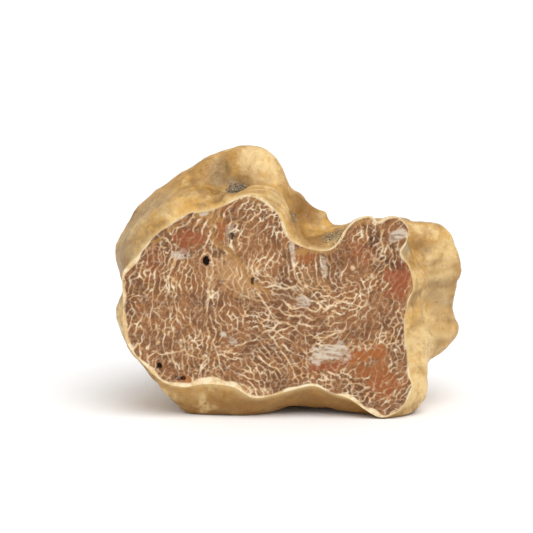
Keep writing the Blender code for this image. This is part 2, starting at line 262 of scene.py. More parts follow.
# The stoutest veins, each a smooth line through (x, z) points: (half width, points)
ROUTES = [
    (0.22, [(-4.4, 27.1), (-2.2, 27.4), (0.6, 27.0), (2.4, 25.6), (5.0, 24.0), (7.0, 22.6)]),
    (0.24, [(3.2, 27.1), (6.8, 26.4), (8.6, 24.8), (11.4, 24.4)]),
    (0.24, [(6.4, 22.2), (8.6, 23.6), (10.4, 24.0), (12.6, 23.2), (14.2, 22.2)]),
    (0.18, [(-7.0, 26.0), (-4.6, 23.2), (-2.8, 20.8), (1.4, 19.6), (4.8, 18.8)]),
    (0.20, [(5.2, 16.4), (8.6, 17.4), (11.0, 18.6), (11.2, 20.0)]),
    (0.18, [(6.2, 14.7), (10.6, 15.1), (15.0, 14.9), (19.0, 15.1), (22.0, 15.7)]),
    (0.15, [(2.8, 17.8), (3.0, 15.3), (3.2, 11.3), (4.2, 9.9)]),
    (0.15, [(-13.6, 27.5), (-10.8, 26.0), (-7.0, 24.8), (-5.2, 23.6)]),
    (0.22, [(-21.6, 17.2), (-21.2, 13.9), (-19.8, 12.7), (-18.2, 12.1), (-16.8, 12.9)]),
    (0.20, [(-27.6, 13.7), (-25.8, 13.3), (-23.6, 13.7), (-21.2, 14.2)]),
    (0.18, [(-23.6, 13.7), (-23.4, 12.1), (-22.2, 9.9)]),
    (0.20, [(-18.2, 8.3), (-17.8, 10.5), (-16.8, 12.7)]),
    (0.15, [(-16.6, 31.1), (-16.2, 24.8), (-16.6, 19.4), (-15.8, 17.8)]),
    (0.19, [(-23.2, 37.8), (-22.9, 34.3), (-23.2, 31.9), (-24.0, 28.7), (-24.2, 24.8), (-24.0, 19.8)]),
    (0.16, [(-22.6, 29.5), (-23.0, 24.8), (-22.8, 20.6)]),
    (0.24, [(0.4, 36.5), (0.6, 31.9), (2.0, 27.9), (3.2, 27.1)]),
    (0.20, [(18.8, 38.4), (18.0, 33.3), (17.2, 32.1)]),
    (0.17, [(11.4, 32.9), (11.0, 31.9), (10.4, 29.3)]),
    (0.17, [(15.6, 26.7), (15.4, 24.6), (14.2, 22.8)]),
    (0.20, [(-11.0, 14.7), (-7.0, 16.4), (-4.2, 17.8), (-1.4, 16.8)]),
    (0.17, [(-4.0, 17.6), (-2.8, 15.3), (0.0, 11.5), (0.8, 9.5)]),
    (0.15, [(-7.0, 13.5), (-5.2, 12.3), (-2.8, 10.7), (2.4, 11.9)]),
    (0.17, [(17.6, 20.4), (18.2, 19.4), (17.8, 17.6), (17.2, 15.1)]),
    (0.28, [(23.6, 9.5), (22.2, 7.5), (21.4, 5.7), (19.4, 3.4)]),
    (0.17, [(7.4, 7.9), (7.2, 9.1), (8.2, 9.5), (9.6, 9.1), (10.2, 8.1)]),
]

# Where stout veins meet in a bright knot: (x, z, radius)
KNOTS = [
    (-16.9, 12.9, 0.42), (-23.6, 13.8, 0.36), (-21.9, 16.2, 0.34), (10.2, 24.0, 0.34), (15.0, 23.3, 0.32),
    (-18.0, 18.4, 0.34), (-30.0, 20.3, 0.34), (-18.9, 12.2, 0.30), (-4.2, 20.8, 0.34), (-2.6, 20.2, 0.30),
    (3.2, 27.2, 0.42), (-28.6, 12.6, 0.30), (-26.4, 15.8, 0.28), (-21.4, 14.2, 0.32), (6.8, 22.6, 0.28),
    (18.0, 19.6, 0.26), (21.8, 16.0, 0.28), (22.2, 7.4, 0.40), (21.0, 5.0, 0.34), (5.4, 10.2, 0.28),
    (-7.2, 10.0, 0.26), (-12.4, 13.8, 0.30), (12.4, 31.0, 0.28), (18.2, 33.4, 0.30), (-23.0, 35.6, 0.30),
]

FLESH_KINDS = ("amber", "red", "grey", "pale", "dark", "ochre")
# Soft-edged areas of the flesh: kind, (x, z), (half width, half height), turn in degrees, strength
FLESH_PATCHES = [
    ("amber", (15.4, 13.4), (3.2, 1.3), 10, 1.0), ("amber", (18.0, 9.0), (3.4, 2.6), -25, 0.75),
    ("amber", (-13.9, 39.5), (1.0, 4.0), -8, 0.8), ("amber", (3.2, 33.2), (2.2, 2.4), 0, 0.7),
    ("amber", (9.0, 11.0), (3.0, 1.1), 10, 0.55), ("amber", (-21.2, 8.0), (1.0, 0.7), 0, 0.8),
    ("red", (21.6, 28.2), (2.8, 3.2), 0, 1.0), ("red", (6.8, 10.8), (2.8, 1.0), 8, 0.8),
    ("red", (-21.0, 36.6), (2.6, 2.2), 20, 0.8), ("red", (-27.5, 31.5), (1.8, 3.0), -10, 0.4),
    ("red", (14.5, 34.0), (2.6, 2.0), 0, 0.5), ("red", (18.6, 6.0), (2.0, 1.4), 0, 0.4),
    ("grey", (8.2, 13.6), (4.2, 1.6), 14, 1.0), ("grey", (-13.6, 17.4), (0.9, 0.7), 0, 0.8),
    ("grey", (-21.6, 33.5), (1.4, 0.9), 0, 0.8), ("grey", (2.6, 24.4), (1.3, 1.1), 0, 0.8),
    ("grey", (21.4, 37.6), (1.5, 1.0), 20, 0.9), ("grey", (-11.4, 16.0), (0.8, 0.6), 0, 0.7),
    ("grey", (0.5, 34.0), (0.5, 2.6), 2, 0.8), ("grey", (6.8, 31.0), (0.6, 1.8), 8, 0.7),
    ("grey", (-17.0, 42.2), (0.8, 0.6), 0, 0.9), ("grey", (-11.6, 38.0), (1.1, 1.2), 0, 0.4),
    ("pale", (-10.5, 30.0), (4.6, 3.4), -20, 0.8), ("pale", (4.4, 28.5), (2.6, 2.2), 0, 0.4),
    ("pale", (-8.0, 5.9), (6.0, 0.9), -4, 0.9), ("pale", (-18.5, 7.8), (3.0, 0.8), 4, 0.9),
    # dark: painted shade round the holes and along the seam's groove, and a few dark spots of the flesh.
    ("dark", (-14.4, 34.2), (0.9, 0.9), 0, 0.7), ("dark", (-26.4, 10.9), (0.5, 0.5), 0, 1.0),
    ("dark", (-22.4, 8.4), (0.8, 0.35), -20, 0.9), ("dark", (20.5, 31.8), (2.0, 0.9), -25, 0.6),
    ("dark", (-14.7, 41.2), (0.28, 2.2), -14, 0.45), ("dark", (-15.0, 37.6), (0.25, 1.8), 0, 0.35),
    ("dark", (-11.8, 37.2), (0.6, 1.2), 10, 0.6), ("dark", (16.6, 37.0), (0.8, 2.2), 12, 0.45),
    ("ochre", (5.2, 34.6), (4.2, 0.9), 6, 0.9), ("ochre", (15.2, 40.2), (2.4, 0.7), 10, 0.7),
    ("ochre", (-15.5, 41.4), (2.6, 1.0), -8, 0.8), ("ochre", (-24.0, 38.4), (3.2, 0.5), 38, 0.8),
    ("ochre", (-6.5, 44.6), (2.8, 0.7), 0, 0.6), ("ochre", (24.2, 24.0), (0.9, 4.0), 0, 0.6),
]

# Ochre seam that wanders down the upper face, (x, z)
SEAM = [(-13.8, 43.2), (-15.0, 40.2), (-15.2, 36.5), (-12.4, 34.1), (-10.0, 31.3), (-7.4, 27.9), (-4.6, 26.0)]
SEAM_WIDTH = 0.48

# Holes in the cut face: (x, z), (half width, half height), depth, which also sets how dark their painted
# shade is
HOLES = [
    ((-16.8, 32.4), (0.50, 0.68), 1.5), ((-26.4, 10.9), (0.5, 0.55), 1.0), ((-21.6, 8.3), (0.5, 0.4), 0.8),
    ((-7.5, 27.9), (0.28, 0.75), 0.7), ((20.3, 35.2), (0.3, 0.55), 0.6), ((-11.7, 37.3), (0.4, 0.6), 0.7),
    ((16.2, 36.2), (0.28, 1.1), 0.5), ((-21.0, 33.4), (0.45, 0.3), 0.5),
]
HOLE_EDGE = 1.35        # a hole or a patch ends where its ellipse is this many times as large
SOFT_EDGE = 0.6         # width of that end, in the same measure

RIND_WIDTH = 0.55       # cream band that the cut skin makes round the face
RIND_EDGE = 0.28        # width over which the band fades into the flesh
# Where that band is wider (+) or narrower (-): (x, z), radius, share added
RIND_CHANGES = [
    ((-16.0, 6.5), 7.0, 1.0), ((-33.0, 15.0), 7.0, 0.5), ((-4.0, 4.5), 5.0, 0.4), ((20.0, 1.0), 4.0, 0.5),
    ((4.5, 35.0), 4.5, -0.75), ((-14.0, 43.0), 2.5, -0.5), ((24.0, 22.0), 7.0, -0.45),
]

SNAP = 0.55             # share of a cell within which a grid point is moved onto the rim
FACE_DEPTH = 0.10       # how far the flesh lies behind the cut
FACE_EASE = 0.5         # distance from the rim over which it gets there
VEIN_HEIGHT = 0.07      # how far the veins stand out of it
SEAM_DEPTH = 0.35
BACKING = 2.1           # thickness of the flesh's own slab
BACKING_SHARE = 0.975   # size of the slab's back beside its front
BACKING_BULGE = 0.3     # how much deeper the middle of that back is

# ---------------------------------------------------------------- soil
# (x, depth, z) of the middle of a heap, radius, number of crumbs
SOIL_HEAPS = [
    ((-10.9, 5.8, 46.0), 2.2, 150), ((8.6, 1.8, 37.2), 2.4, 110), ((0.8, 4.8, 40.8), 0.9, 20),
]
CRUMB_SIDES = 7
CRUMB_RINGS = 5
CRUMB_STAND = 0.35      # how far a crumb's middle stands out of the skin, as a share of its half size
CRUMB_FRONT = 0.02      # no crumb comes nearer to the cut than this


LATTICE_SIDE = 61       # the lattice of random values repeats after this many
LATTICE_SHIFT = 500.0   # brings every place on it above 0


# ================================================================ sums on whole arrays
def ease(t):
    """0 below 0, 1 above 1, and the smooth step 3t^2 - 2t^3 between."""
    t = np.clip(t, 0.0, 1.0)
    return t * t * (3.0 - 2.0 * t)


def closed_table(angle, table):
    """Smooth closed curve through (angle, value) pairs, read at the given angles in degrees.

    Between neighbours it is a cubic whose slope at each one is that of the chord across it.
    """
    at, value = np.array(table, dtype=float).T
    at = np.concatenate([at[-2:] - 360.0, at, at[:3] + 360.0])
    value = np.concatenate([value[-2:], value, value[:3]])
    slope = np.zeros_like(value)
    slope[1:-1] = (value[2:] - value[:-2]) / (at[2:] - at[:-2])
    angle = np.mod(angle, 360.0)
    i = np.clip(np.searchsorted(at, angle, side="right") - 1, 1, len(at) - 3)
    gap = at[i + 1] - at[i]
    t = (angle - at[i]) / gap
    bend = gap * (t * (1.0 - t) ** 2 * slope[i] - t * t * (1.0 - t) * slope[i + 1])
    return value[i] * (1.0 - ease(t)) + value[i + 1] * ease(t) + bend


def smooth_line(knots, per_knot, closed):
    """Catmull-Rom curve through the knots: each stretch is the cubic that leaves and arrives along chords."""
    knots = np.array(knots, dtype=float)
    if not closed:
        knots = np.concatenate([[2.0 * knots[0] - knots[1]], knots, [2.0 * knots[-1] - knots[-2]]])
    count = len(knots)
    first, last = (0, count) if closed else (1, count - 2)
    t = np.linspace(first, last, (last - first) * per_knot, endpoint=False)
    i = t.astype(int)
    f = (t - i)[:, None]
    a, b, c, d = (knots[(i + step) % count] for step in (-1, 0, 1, 2))
    return 0.5 * (2 * b + (c - a) * f + (2 * a - 5 * b + 4 * c - d) * f**2 + (3 * b - a - 3 * c + d) * f**3)


def rim_curve(count):
    """Points evenly spaced along the closed smooth curve through RIM, as an array of (x, z)."""
    curve = smooth_line(RIM, 40, True)
    curve = np.concatenate([curve, curve[:1]])
    along = np.concatenate([[0.0], np.cumsum(np.linalg.norm(np.diff(curve, axis=0), axis=1))])
    at = np.linspace(0.0, along[-1], count, endpoint=False)
    return np.stack([np.interp(at, along, curve[:, axis]) for axis in (0, 1)], axis=1)


def smooth_angles(angle, spread):
    """The angles, averaged around the loop with a bell of the given width, so that they only ever rise."""
    count = len(angle)
    turn = np.unwrap(np.radians(angle))
    lean = turn - np.arange(count) * 2.0 * math.pi / count
    offset = np.minimum(np.arange(count), count - np.arange(count))
    bell = np.exp(-0.5 * (offset / spread) ** 2)
    bell /= bell.sum()
    lean = np.real(np.fft.ifft(np.fft.fft(lean) * np.fft.fft(bell)))
    return np.degrees(lean + np.arange(count) * 2.0 * math.pi / count)


def lattice_noise(points, size, seed):
    """Smooth noise from -1 to 1: random values on a cubic lattice of that size, eased between its corners."""
    side = LATTICE_SIDE
    values = np.random.default_rng(seed).uniform(-1.0, 1.0, (side, side, side))
    place = points / size + LATTICE_SHIFT
    corner = np.floor(place).astype(int)
    part = ease(place - corner)
    total = np.zeros(points.shape[:-1])
    for i in (0, 1):
        for j in (0, 1):
            for k in (0, 1):
                weight = np.abs(1 - i - part[..., 0]) * np.abs(1 - j - part[..., 1])
                weight = weight * np.abs(1 - k - part[..., 2])
                at = (corner + (i, j, k)) % side
                total += weight * values[at[..., 0], at[..., 1], at[..., 2]]
    return total


# ================================================================ the skin
def row_depths(count):
    """Depths of the rows, spaced along the curve that closes the back, closer together near the cut."""
    phi = np.linspace(0.0, math.pi / 2.0, 4000)
    depth = DEPTH * np.sin(phi) ** (2.0 / ROUNDING)
    reach = 30.0 * np.cos(phi) ** (2.0 / ROUNDING)
    along = np.concatenate([[0.0], np.cumsum(np.hypot(np.diff(depth), np.diff(reach)))])
    return np.interp(np.linspace(0.0, 1.0, count) ** ROW_BIAS * along[-1], along, depth)


def skin_form(columns, rows):
    """Rows x columns x 3 array of the skin as (x, depth, z), and how deep each point lies in a furrow.

    Each row is at one depth. Its reach from the axis passes smoothly from the rim through the three
    tables, times (1 - (depth / DEPTH)^n)^(1/n), n being ROUNDING, which closes the back to a pole.
    Knobs are bells along the way out from the axis, furrows are bells of the difference between the
    distances to the two nearest lobes, and what would reach below the floor is pressed flat at z = 0.
    """
    rim = rim_curve(columns)
    angle = np.degrees(np.arctan2(rim[:, 1] - AXIS_Z, rim[:, 0] - AXIS_X))
    angle = smooth_angles(angle, columns / 40.0)
    depth = row_depths(rows)[:, None]
    shoulder = closed_table(angle, SHOULDER_REACH)
    girth = closed_table(angle, GIRTH_REACH)
    back = closed_table(angle, BACK_REACH)
    reach = (shoulder
             + (girth - shoulder) * ease((depth - SHOULDER) / (GIRTH - SHOULDER))
             + (back - girth) * ease((depth - GIRTH_END) / (BACK - GIRTH_END)))
    ahead = np.clip(1.0 - depth / SHOULDER, 0.0, 1.0) ** 2
    close = (1.0 - np.clip(depth / DEPTH, 0.0, 1.0) ** ROUNDING) ** (1.0 / ROUNDING)
    out_x = np.cos(np.radians(angle))
    out_z = np.sin(np.radians(angle))
    x = AXIS_X + ((rim[:, 0] - AXIS_X) * ahead + reach * out_x * (1.0 - ahead)) * close
    z = AXIS_Z + ((rim[:, 1] - AXIS_Z) * ahead + reach * out_z * (1.0 - ahead)) * close
    points = np.stack([x, np.broadcast_to(depth, x.shape), z], axis=-1)
    lean = (np.clip(depth / DEPTH, 0.0, 1.0) ** (ROUNDING - 1.0)) * np.ones_like(x)
    out = np.stack([out_x * (1.0 - lean), lean, out_z * (1.0 - lean)], axis=-1)
    out /= np.linalg.norm(out, axis=-1, keepdims=True)
    height = np.zeros_like(x)
    for middle, radius, size in KNOBS:
        gap = np.linalg.norm(points - np.array(middle), axis=-1)
        height += size * np.exp(-(gap / radius) ** 2)
    distance = np.stack([np.linalg.norm(points - np.array(lobe), axis=-1) for lobe in LOBES])
    distance.sort(axis=0)
    furrow = np.exp(-((distance[1] - distance[0]) / FURROW_WIDTH) ** 2)
    furrow *= ease((points[..., 1] - FURROWS_START) / (FURROWS_FULL - FURROWS_START))
    height -= FURROW_DEPTH * furrow
    height *= ease(points[..., 1] / 1.5)
    points = points + out * height[..., None]
    points[-1] = points[-1].mean(axis=0)
    points[..., 2] = np.maximum(points[..., 2], 0.0)
    return points, furrow


def grid_normals(points):
    """Unit normals of a closed ring grid: the step to the next row crossed with the step around."""
    around = np.roll(points, -1, axis=1) - np.roll(points, 1, axis=1)
    back = np.gradient(points, axis=0)
    normal = np.cross(back, around)
    return normal / np.maximum(np.linalg.norm(normal, axis=-1, keepdims=True), 1e-9)


def bell_sum(points, marks):
    """Sum over the marks of height * exp(-(distance / radius)^2)."""
    total = np.zeros(points.shape[:-1])
    for middle, radius, height in marks:
        total += height * np.exp(-(np.linalg.norm(points - np.array(middle), axis=-1) / radius) ** 2)
    return total


def crease_sum(points):
    """Sum over the creases of height * exp(-(distance from the line / half width)^2), wobbled by noise."""
    shift = np.stack([lattice_noise(points, CREASE_TURNS, seed) for seed in (41, 42, 43)], axis=-1)
    moved = (points + CREASE_WANDER * shift).reshape(-1, 3)
    total = np.zeros(len(moved))
    for width, height, knots in CREASES:
        line = smooth_line(knots, 10, False)
        gap = np.full(len(moved), 1e9)
        for place in line:
            gap = np.minimum(gap, ((moved - place) ** 2).sum(axis=1))
        total += height * np.exp(-gap / width**2)
    return total.reshape(points.shape[:-1])


def skin_relief(points):
    """Height of the fine relief, the growth lines alone from -1 to 1, and the creases alone.

    The height is the lumps, the marks, the creases and the growth lines, which are a sine of the
    distance from their middle, wobbled by noise, fading out with depth, sideways and below the crest.
    """
    lumps = sum(height * lattice_noise(points, size, seed) for size, height, seed in LUMPS)
    reach = np.hypot(points[..., 0] - GROWTH_MIDDLE[0], points[..., 2] - GROWTH_MIDDLE[1])
    reach = reach + 0.35 * points[..., 1] + 0.25 * lattice_noise(points, 2.0, 24)
    left, right = GROWTH_SIDES
    crest = ease((points[..., 2] - GROWTH_FLOOR) / GROWTH_RISE)
    crest *= ease((GROWTH_DEEPEST - points[..., 1]) / GROWTH_FADE)
    crest *= ease((points[..., 0] - left) / GROWTH_FADE) * ease((right - points[..., 0]) / GROWTH_FADE)
    lines = np.sin(2.0 * math.pi * reach / GROWTH_PITCH)
    creases = crease_sum(points)
    height = lumps + GROWTH_HEIGHT * lines * crest + bell_sum(points, SKIN_MARKS) + creases
    return height, lines * crest, creases


def skin_patch(points, kind):
    """Mask of one kind of patch: bells round its middles, their radius wobbled by noise."""
    wobble = 1.0 + 0.45 * lattice_noise(points, 1.6, 31) + 0.25 * lattice_noise(points, 0.7, 32)
    total = np.zeros(points.shape[:-1])
    for middle, radius, patch, strength in SKIN_PATCHES:
        if patch == kind:
            gap = np.linalg.norm(points - np.array(middle), axis=-1) / (radius * wobble)
            total = np.maximum(total, strength * np.exp(-gap**4))
    return np.clip(total, 0.0, 1.0)


def skin_surface():
    """The skin as (points, quads, triangles, attributes), a closed shell with a shallow recess at the cut."""
    form, furrow = skin_form(COLUMNS, ROWS)
    height, lines, creases = skin_relief(form)
    fade = ease(form[..., 1] / RIM_EASE) * ease(form[..., 2] / FLOOR_EASE)
    grid = form + grid_normals(form) * (height * fade)[..., None]
    grid[-1] = grid[-1].mean(axis=0)
    grid[..., 2] = np.maximum(grid[..., 2], 0.0)
    grid[..., 1] = np.maximum(grid[..., 1], 0.0)
    inner = grid[0].copy()
    inner[:, 0] = HUB[0] + (inner[:, 0] - HUB[0]) * RECESS_SHARE
    inner[:, 2] = HUB[1] + (inner[:, 2] - HUB[1]) * RECESS_SHARE
    inner[:, 1] = RECESS
    rings = ROWS - 1
    hub = [[HUB[0], RECESS, HUB[1]]]
    points = np.concatenate([grid[:rings].reshape(-1, 3), inner, grid[-1, :1], hub])
    pole = (rings + 1) * COLUMNS
    i = np.arange(COLUMNS)
    j = (i + 1) % COLUMNS
    row = np.arange(rings - 1)[:, None] * COLUMNS
    quads = np.stack([row + i, row + i + COLUMNS, row + j + COLUMNS, row + j], axis=-1).reshape(-1, 4)
    recess = np.stack([i, j, j + rings * COLUMNS, i + rings * COLUMNS], axis=-1)
    last = (rings - 1) * COLUMNS
    back = np.stack([last + i, np.full(COLUMNS, pole), last + j], axis=-1)
    cap = np.stack([rings * COLUMNS + i, rings * COLUMNS + j, np.full(COLUMNS, pole + 1)], axis=-1)
    attributes = {
        # The furrow mask is painted shade: the furrows between the lobes, the two deepest dents and the
        # creases, which the skin's colour darkens to brown.
        "furrow": furrow + 0.6 * ease(-bell_sum(form, KNOBS[:2]) / 1.2) + 0.7 * ease(-creases / 0.6),
        "crest": ease(creases / 0.5),
        "lines": 0.5 + 0.5 * lines,
        "under": ease((9.0 - form[..., 2]) / 9.0) * ease((form[..., 1] + 3.0) / 6.0),
        "edge": np.exp(-(form[..., 1] / 0.35) ** 2),
    }
    for kind in SKIN_KINDS:
        attributes[kind] = skin_patch(form, kind)
    for name, value in attributes.items():
        value = np.broadcast_to(value, form.shape[:-1])
        tail = np.concatenate([value[0], value[-1, :1], value[0, :1]])
        attributes[name] = np.concatenate([value[:rings].ravel(), tail])
    return points, np.concatenate([quads, recess]), np.concatenate([back, cap]), attributes


# ================================================================ the veins
class Pattern:
    """Square grid on the cut face and the sums that the veins need on it. Lengths are mm."""

    def __init__(self):
        self.columns = int(round((PATTERN_X[1] - PATTERN_X[0]) / PATTERN_CELL))
        self.rows = int(round((PATTERN_Z[1] - PATTERN_Z[0]) / PATTERN_CELL))
        x = PATTERN_X[0] + (np.arange(self.columns) + 0.5) * PATTERN_CELL
        z = PATTERN_Z[0] + (np.arange(self.rows) + 0.5) * PATTERN_CELL
        self.x, self.z = np.meshgrid(x, z)
        self.across = np.fft.rfftfreq(self.columns, PATTERN_CELL)[None, :]
        self.up = np.fft.fftfreq(self.rows, PATTERN_CELL)[:, None]
        self.frequency = np.hypot(self.across, self.up)
        self.rng = np.random.default_rng(11)

    def filtered(self, field, response):
        """The field with each of its waves multiplied by the response."""
        return np.fft.irfft2(np.fft.rfft2(field) * response, s=self.x.shape)

    def blur(self, field, size):
        """The field averaged with a bell whose standard deviation is size."""
        return self.filtered(field, np.exp(-2.0 * (math.pi * self.frequency * size) ** 2))

    def noise(self, size):
        """White noise blurred to that size, with mean 0 and deviation 1."""
        field = self.blur(self.rng.standard_normal(self.x.shape), size)
        return (field - field.mean()) / field.std()

    def sample(self, field, x, z):
        """The field read at any points, linearly between the cells."""
        u = np.clip((x - PATTERN_X[0]) / PATTERN_CELL - 0.5, 0.0, self.columns - 1.001)
        v = np.clip((z - PATTERN_Z[0]) / PATTERN_CELL - 0.5, 0.0, self.rows - 1.001)
        i = u.astype(int)
        j = v.astype(int)
        a = u - i
        b = v - j
        low = field[j, i] * (1.0 - a) + field[j, i + 1] * a
        high = field[j + 1, i] * (1.0 - a) + field[j + 1, i + 1] * a
        return low * (1.0 - b) + high * b

    def flow(self):
        """Direction of the veins and how strictly it holds: the mean of the anchors, weighted by a bell.

        Directions are averaged as doubled angles, because a vein has no head or tail.
        """
        total = np.zeros(self.x.shape, dtype=complex)
        weight = np.full(self.x.shape, 1e-9)
        for x, z, direction, strict in FLOW:
            bell = np.exp(-((self.x - x) ** 2 + (self.z - z) ** 2) / (2.0 * FLOW_SPREAD**2))
            total += bell * strict * np.exp(2j * math.radians(direction))
            weight += bell
        return np.angle(total) / 2.0, np.clip(np.abs(total) / weight * 1.2, 0.0, 1.0)

    def labyrinth(self, direction, strict, wide):
        """Winding ridges one wavelength apart that follow the direction.

        Noise is filtered to one wavelength by a fan of oriented filters and one round one, mixed by
        how well each fits the local direction, then bent with tanh and given fresh noise, over and
        over. Two wavelengths, fine and wide, are mixed by the wide map.
        """
        way = np.arctan2(self.up, self.across)
        filters = []
        for wavelength in VEIN_PITCHES:
            ring = np.exp(-0.5 * ((self.frequency * wavelength - 1.0) / 0.32) ** 2)
            fan = []
            for k in range(FAN):
                off = np.angle(np.exp(2j * (way - math.pi * k / FAN - math.pi / 2.0))) / 2.0
                fan.append(ring * np.exp(-0.5 * (off / 0.6) ** 2))
            fan.append(ring)
            filters.append([one / math.sqrt((one**2).mean()) for one in fan])
        weights = []
        for k in range(FAN):
            off = np.angle(np.exp(2j * (direction - math.pi * k / FAN))) / 2.0
            weights.append(np.exp(-0.5 * (off / 0.3) ** 2))
        total = sum(weights)
        weights = [weight / total * strict for weight in weights] + [1.0 - strict]
        field = self.rng.standard_normal(self.x.shape)
        for _ in range(ROUNDS):
            waves = np.fft.rfft2(field)
            ridges = np.zeros(self.x.shape)
            for fine, broad, weight in zip(filters[0], filters[1], weights):
                ridges += weight * (1.0 - wide) * np.fft.irfft2(waves * fine, s=self.x.shape)
                ridges += weight * wide * np.fft.irfft2(waves * broad, s=self.x.shape)
            ridges /= np.sqrt(np.maximum(self.blur(ridges**2, 1.2), 1e-6))
            field = np.tanh(1.6 * ridges + 0.25) + 0.5 * self.rng.standard_normal(self.x.shape)
        return ridges

    def crest_distance(self, field):
        """Distance from the nearest ridge line of the field, whether it is one, and the blurred field.

        Across a ridge the field is nearly a parabola, so the distance from its crest is the slope
        across it divided by the curvature across it.
        """
        field = self.blur(field, 0.10)
        slope_z, slope_x = np.gradient(field, PATTERN_CELL)
        bend_xz, bend_xx = np.gradient(slope_x, PATTERN_CELL)
        bend_zz = np.gradient(slope_z, PATTERN_CELL, axis=0)
        spread = np.sqrt(((bend_xx - bend_zz) / 2.0) ** 2 + bend_xz**2)
        lowest = (bend_xx + bend_zz) / 2.0 - spread
        across = 0.5 * np.arctan2(2.0 * bend_xz, bend_xx - bend_zz) + math.pi / 2.0
        slope = slope_x * np.cos(across) + slope_z * np.sin(across)
        return np.abs(slope) / np.maximum(-lowest, 1e-3), lowest < 0.0, field

    def cell_walls(self, direction, stretch, pitch):
        """Distance from the walls between stretched cells, and a number from 0 to 1 for each wall.

        Cells are grown round jittered lattice points with distances stretched along the direction.
        The distance from a wall is the difference between those to the two nearest points.
        """
        x = self.x + 0.22 * self.noise(0.8) + 0.07 * self.noise(0.25)
        z = self.z + 0.22 * self.noise(0.8) + 0.07 * self.noise(0.25)
        side = 160
        jitter = self.rng.uniform(-0.45, 0.45, (side, side, 2))
        i = np.floor(x / pitch).astype(int)
        j = np.floor(z / pitch).astype(int)
        along, across = np.cos(direction), np.sin(direction)
        pull = np.sqrt(stretch)
        nearest = np.full(x.shape, 1e9)
        second = np.full(x.shape, 1e9)
        nearest_id = np.zeros(x.shape, dtype=int)
        second_id = np.zeros(x.shape, dtype=int)
        for di in range(-2, 3):
            for dj in range(-2, 3):
                shift = jitter[(i + di) % side, (j + dj) % side]
                gap_x = (i + di + 0.5 + shift[..., 0]) * pitch - x
                gap_z = (j + dj + 0.5 + shift[..., 1]) * pitch - z
                lengthwise = (gap_x * along + gap_z * across) / pull
                gap = np.hypot(lengthwise, (gap_z * along - gap_x * across) * pull)
                cell = ((i + di) % side) * side + (j + dj) % side
                closer = gap < nearest
                middling = (gap < second) & ~closer
                second = np.where(closer, nearest, np.where(middling, gap, second))
                second_id = np.where(closer, nearest_id, np.where(middling, cell, second_id))
                nearest = np.where(closer, gap, nearest)
                nearest_id = np.where(closer, cell, nearest_id)
        low = np.minimum(nearest_id, second_id)
        high = np.maximum(nearest_id, second_id)
        chance = np.sin(low * 12.9898 + high * 78.233) * 43758.5453
        return second - nearest, chance - np.floor(chance)

    def route_distance(self, points):
        """Distance from each cell to the nearest of many closely spaced points, within half a millimetre."""
        distance = np.full(self.x.size, 9.0)
        u = ((points[:, 0] - PATTERN_X[0]) / PATTERN_CELL).astype(int)
        v = ((points[:, 1] - PATTERN_Z[0]) / PATTERN_CELL).astype(int)
        steps = np.arange(-5, 6)
        i = np.clip(u[:, None, None] + steps[None, :, None], 0, self.columns - 1)
        j = np.clip(v[:, None, None] + steps[None, None, :], 0, self.rows - 1)
        i, j = np.broadcast_arrays(i, j)
        gap = np.hypot(self.x[j, i] - points[:, 0, None, None], self.z[j, i] - points[:, 1, None, None])
        np.minimum.at(distance, (j * self.columns + i).ravel(), gap.ravel())
        return distance.reshape(self.x.shape)


def wobbled(pattern, line, amount):
    """The line's points moved sideways by two sizes of noise, so that it wanders as a grown thing does."""
    shift_x = amount * (pattern.noise(0.8) + 0.25 * pattern.noise(0.3))
    shift_z = amount * (pattern.noise(0.8) + 0.25 * pattern.noise(0.3))
    moved = line.copy()
    moved[:, 0] += pattern.sample(shift_x, line[:, 0], line[:, 1])
    moved[:, 1] += pattern.sample(shift_z, line[:, 0], line[:, 1])
    return moved


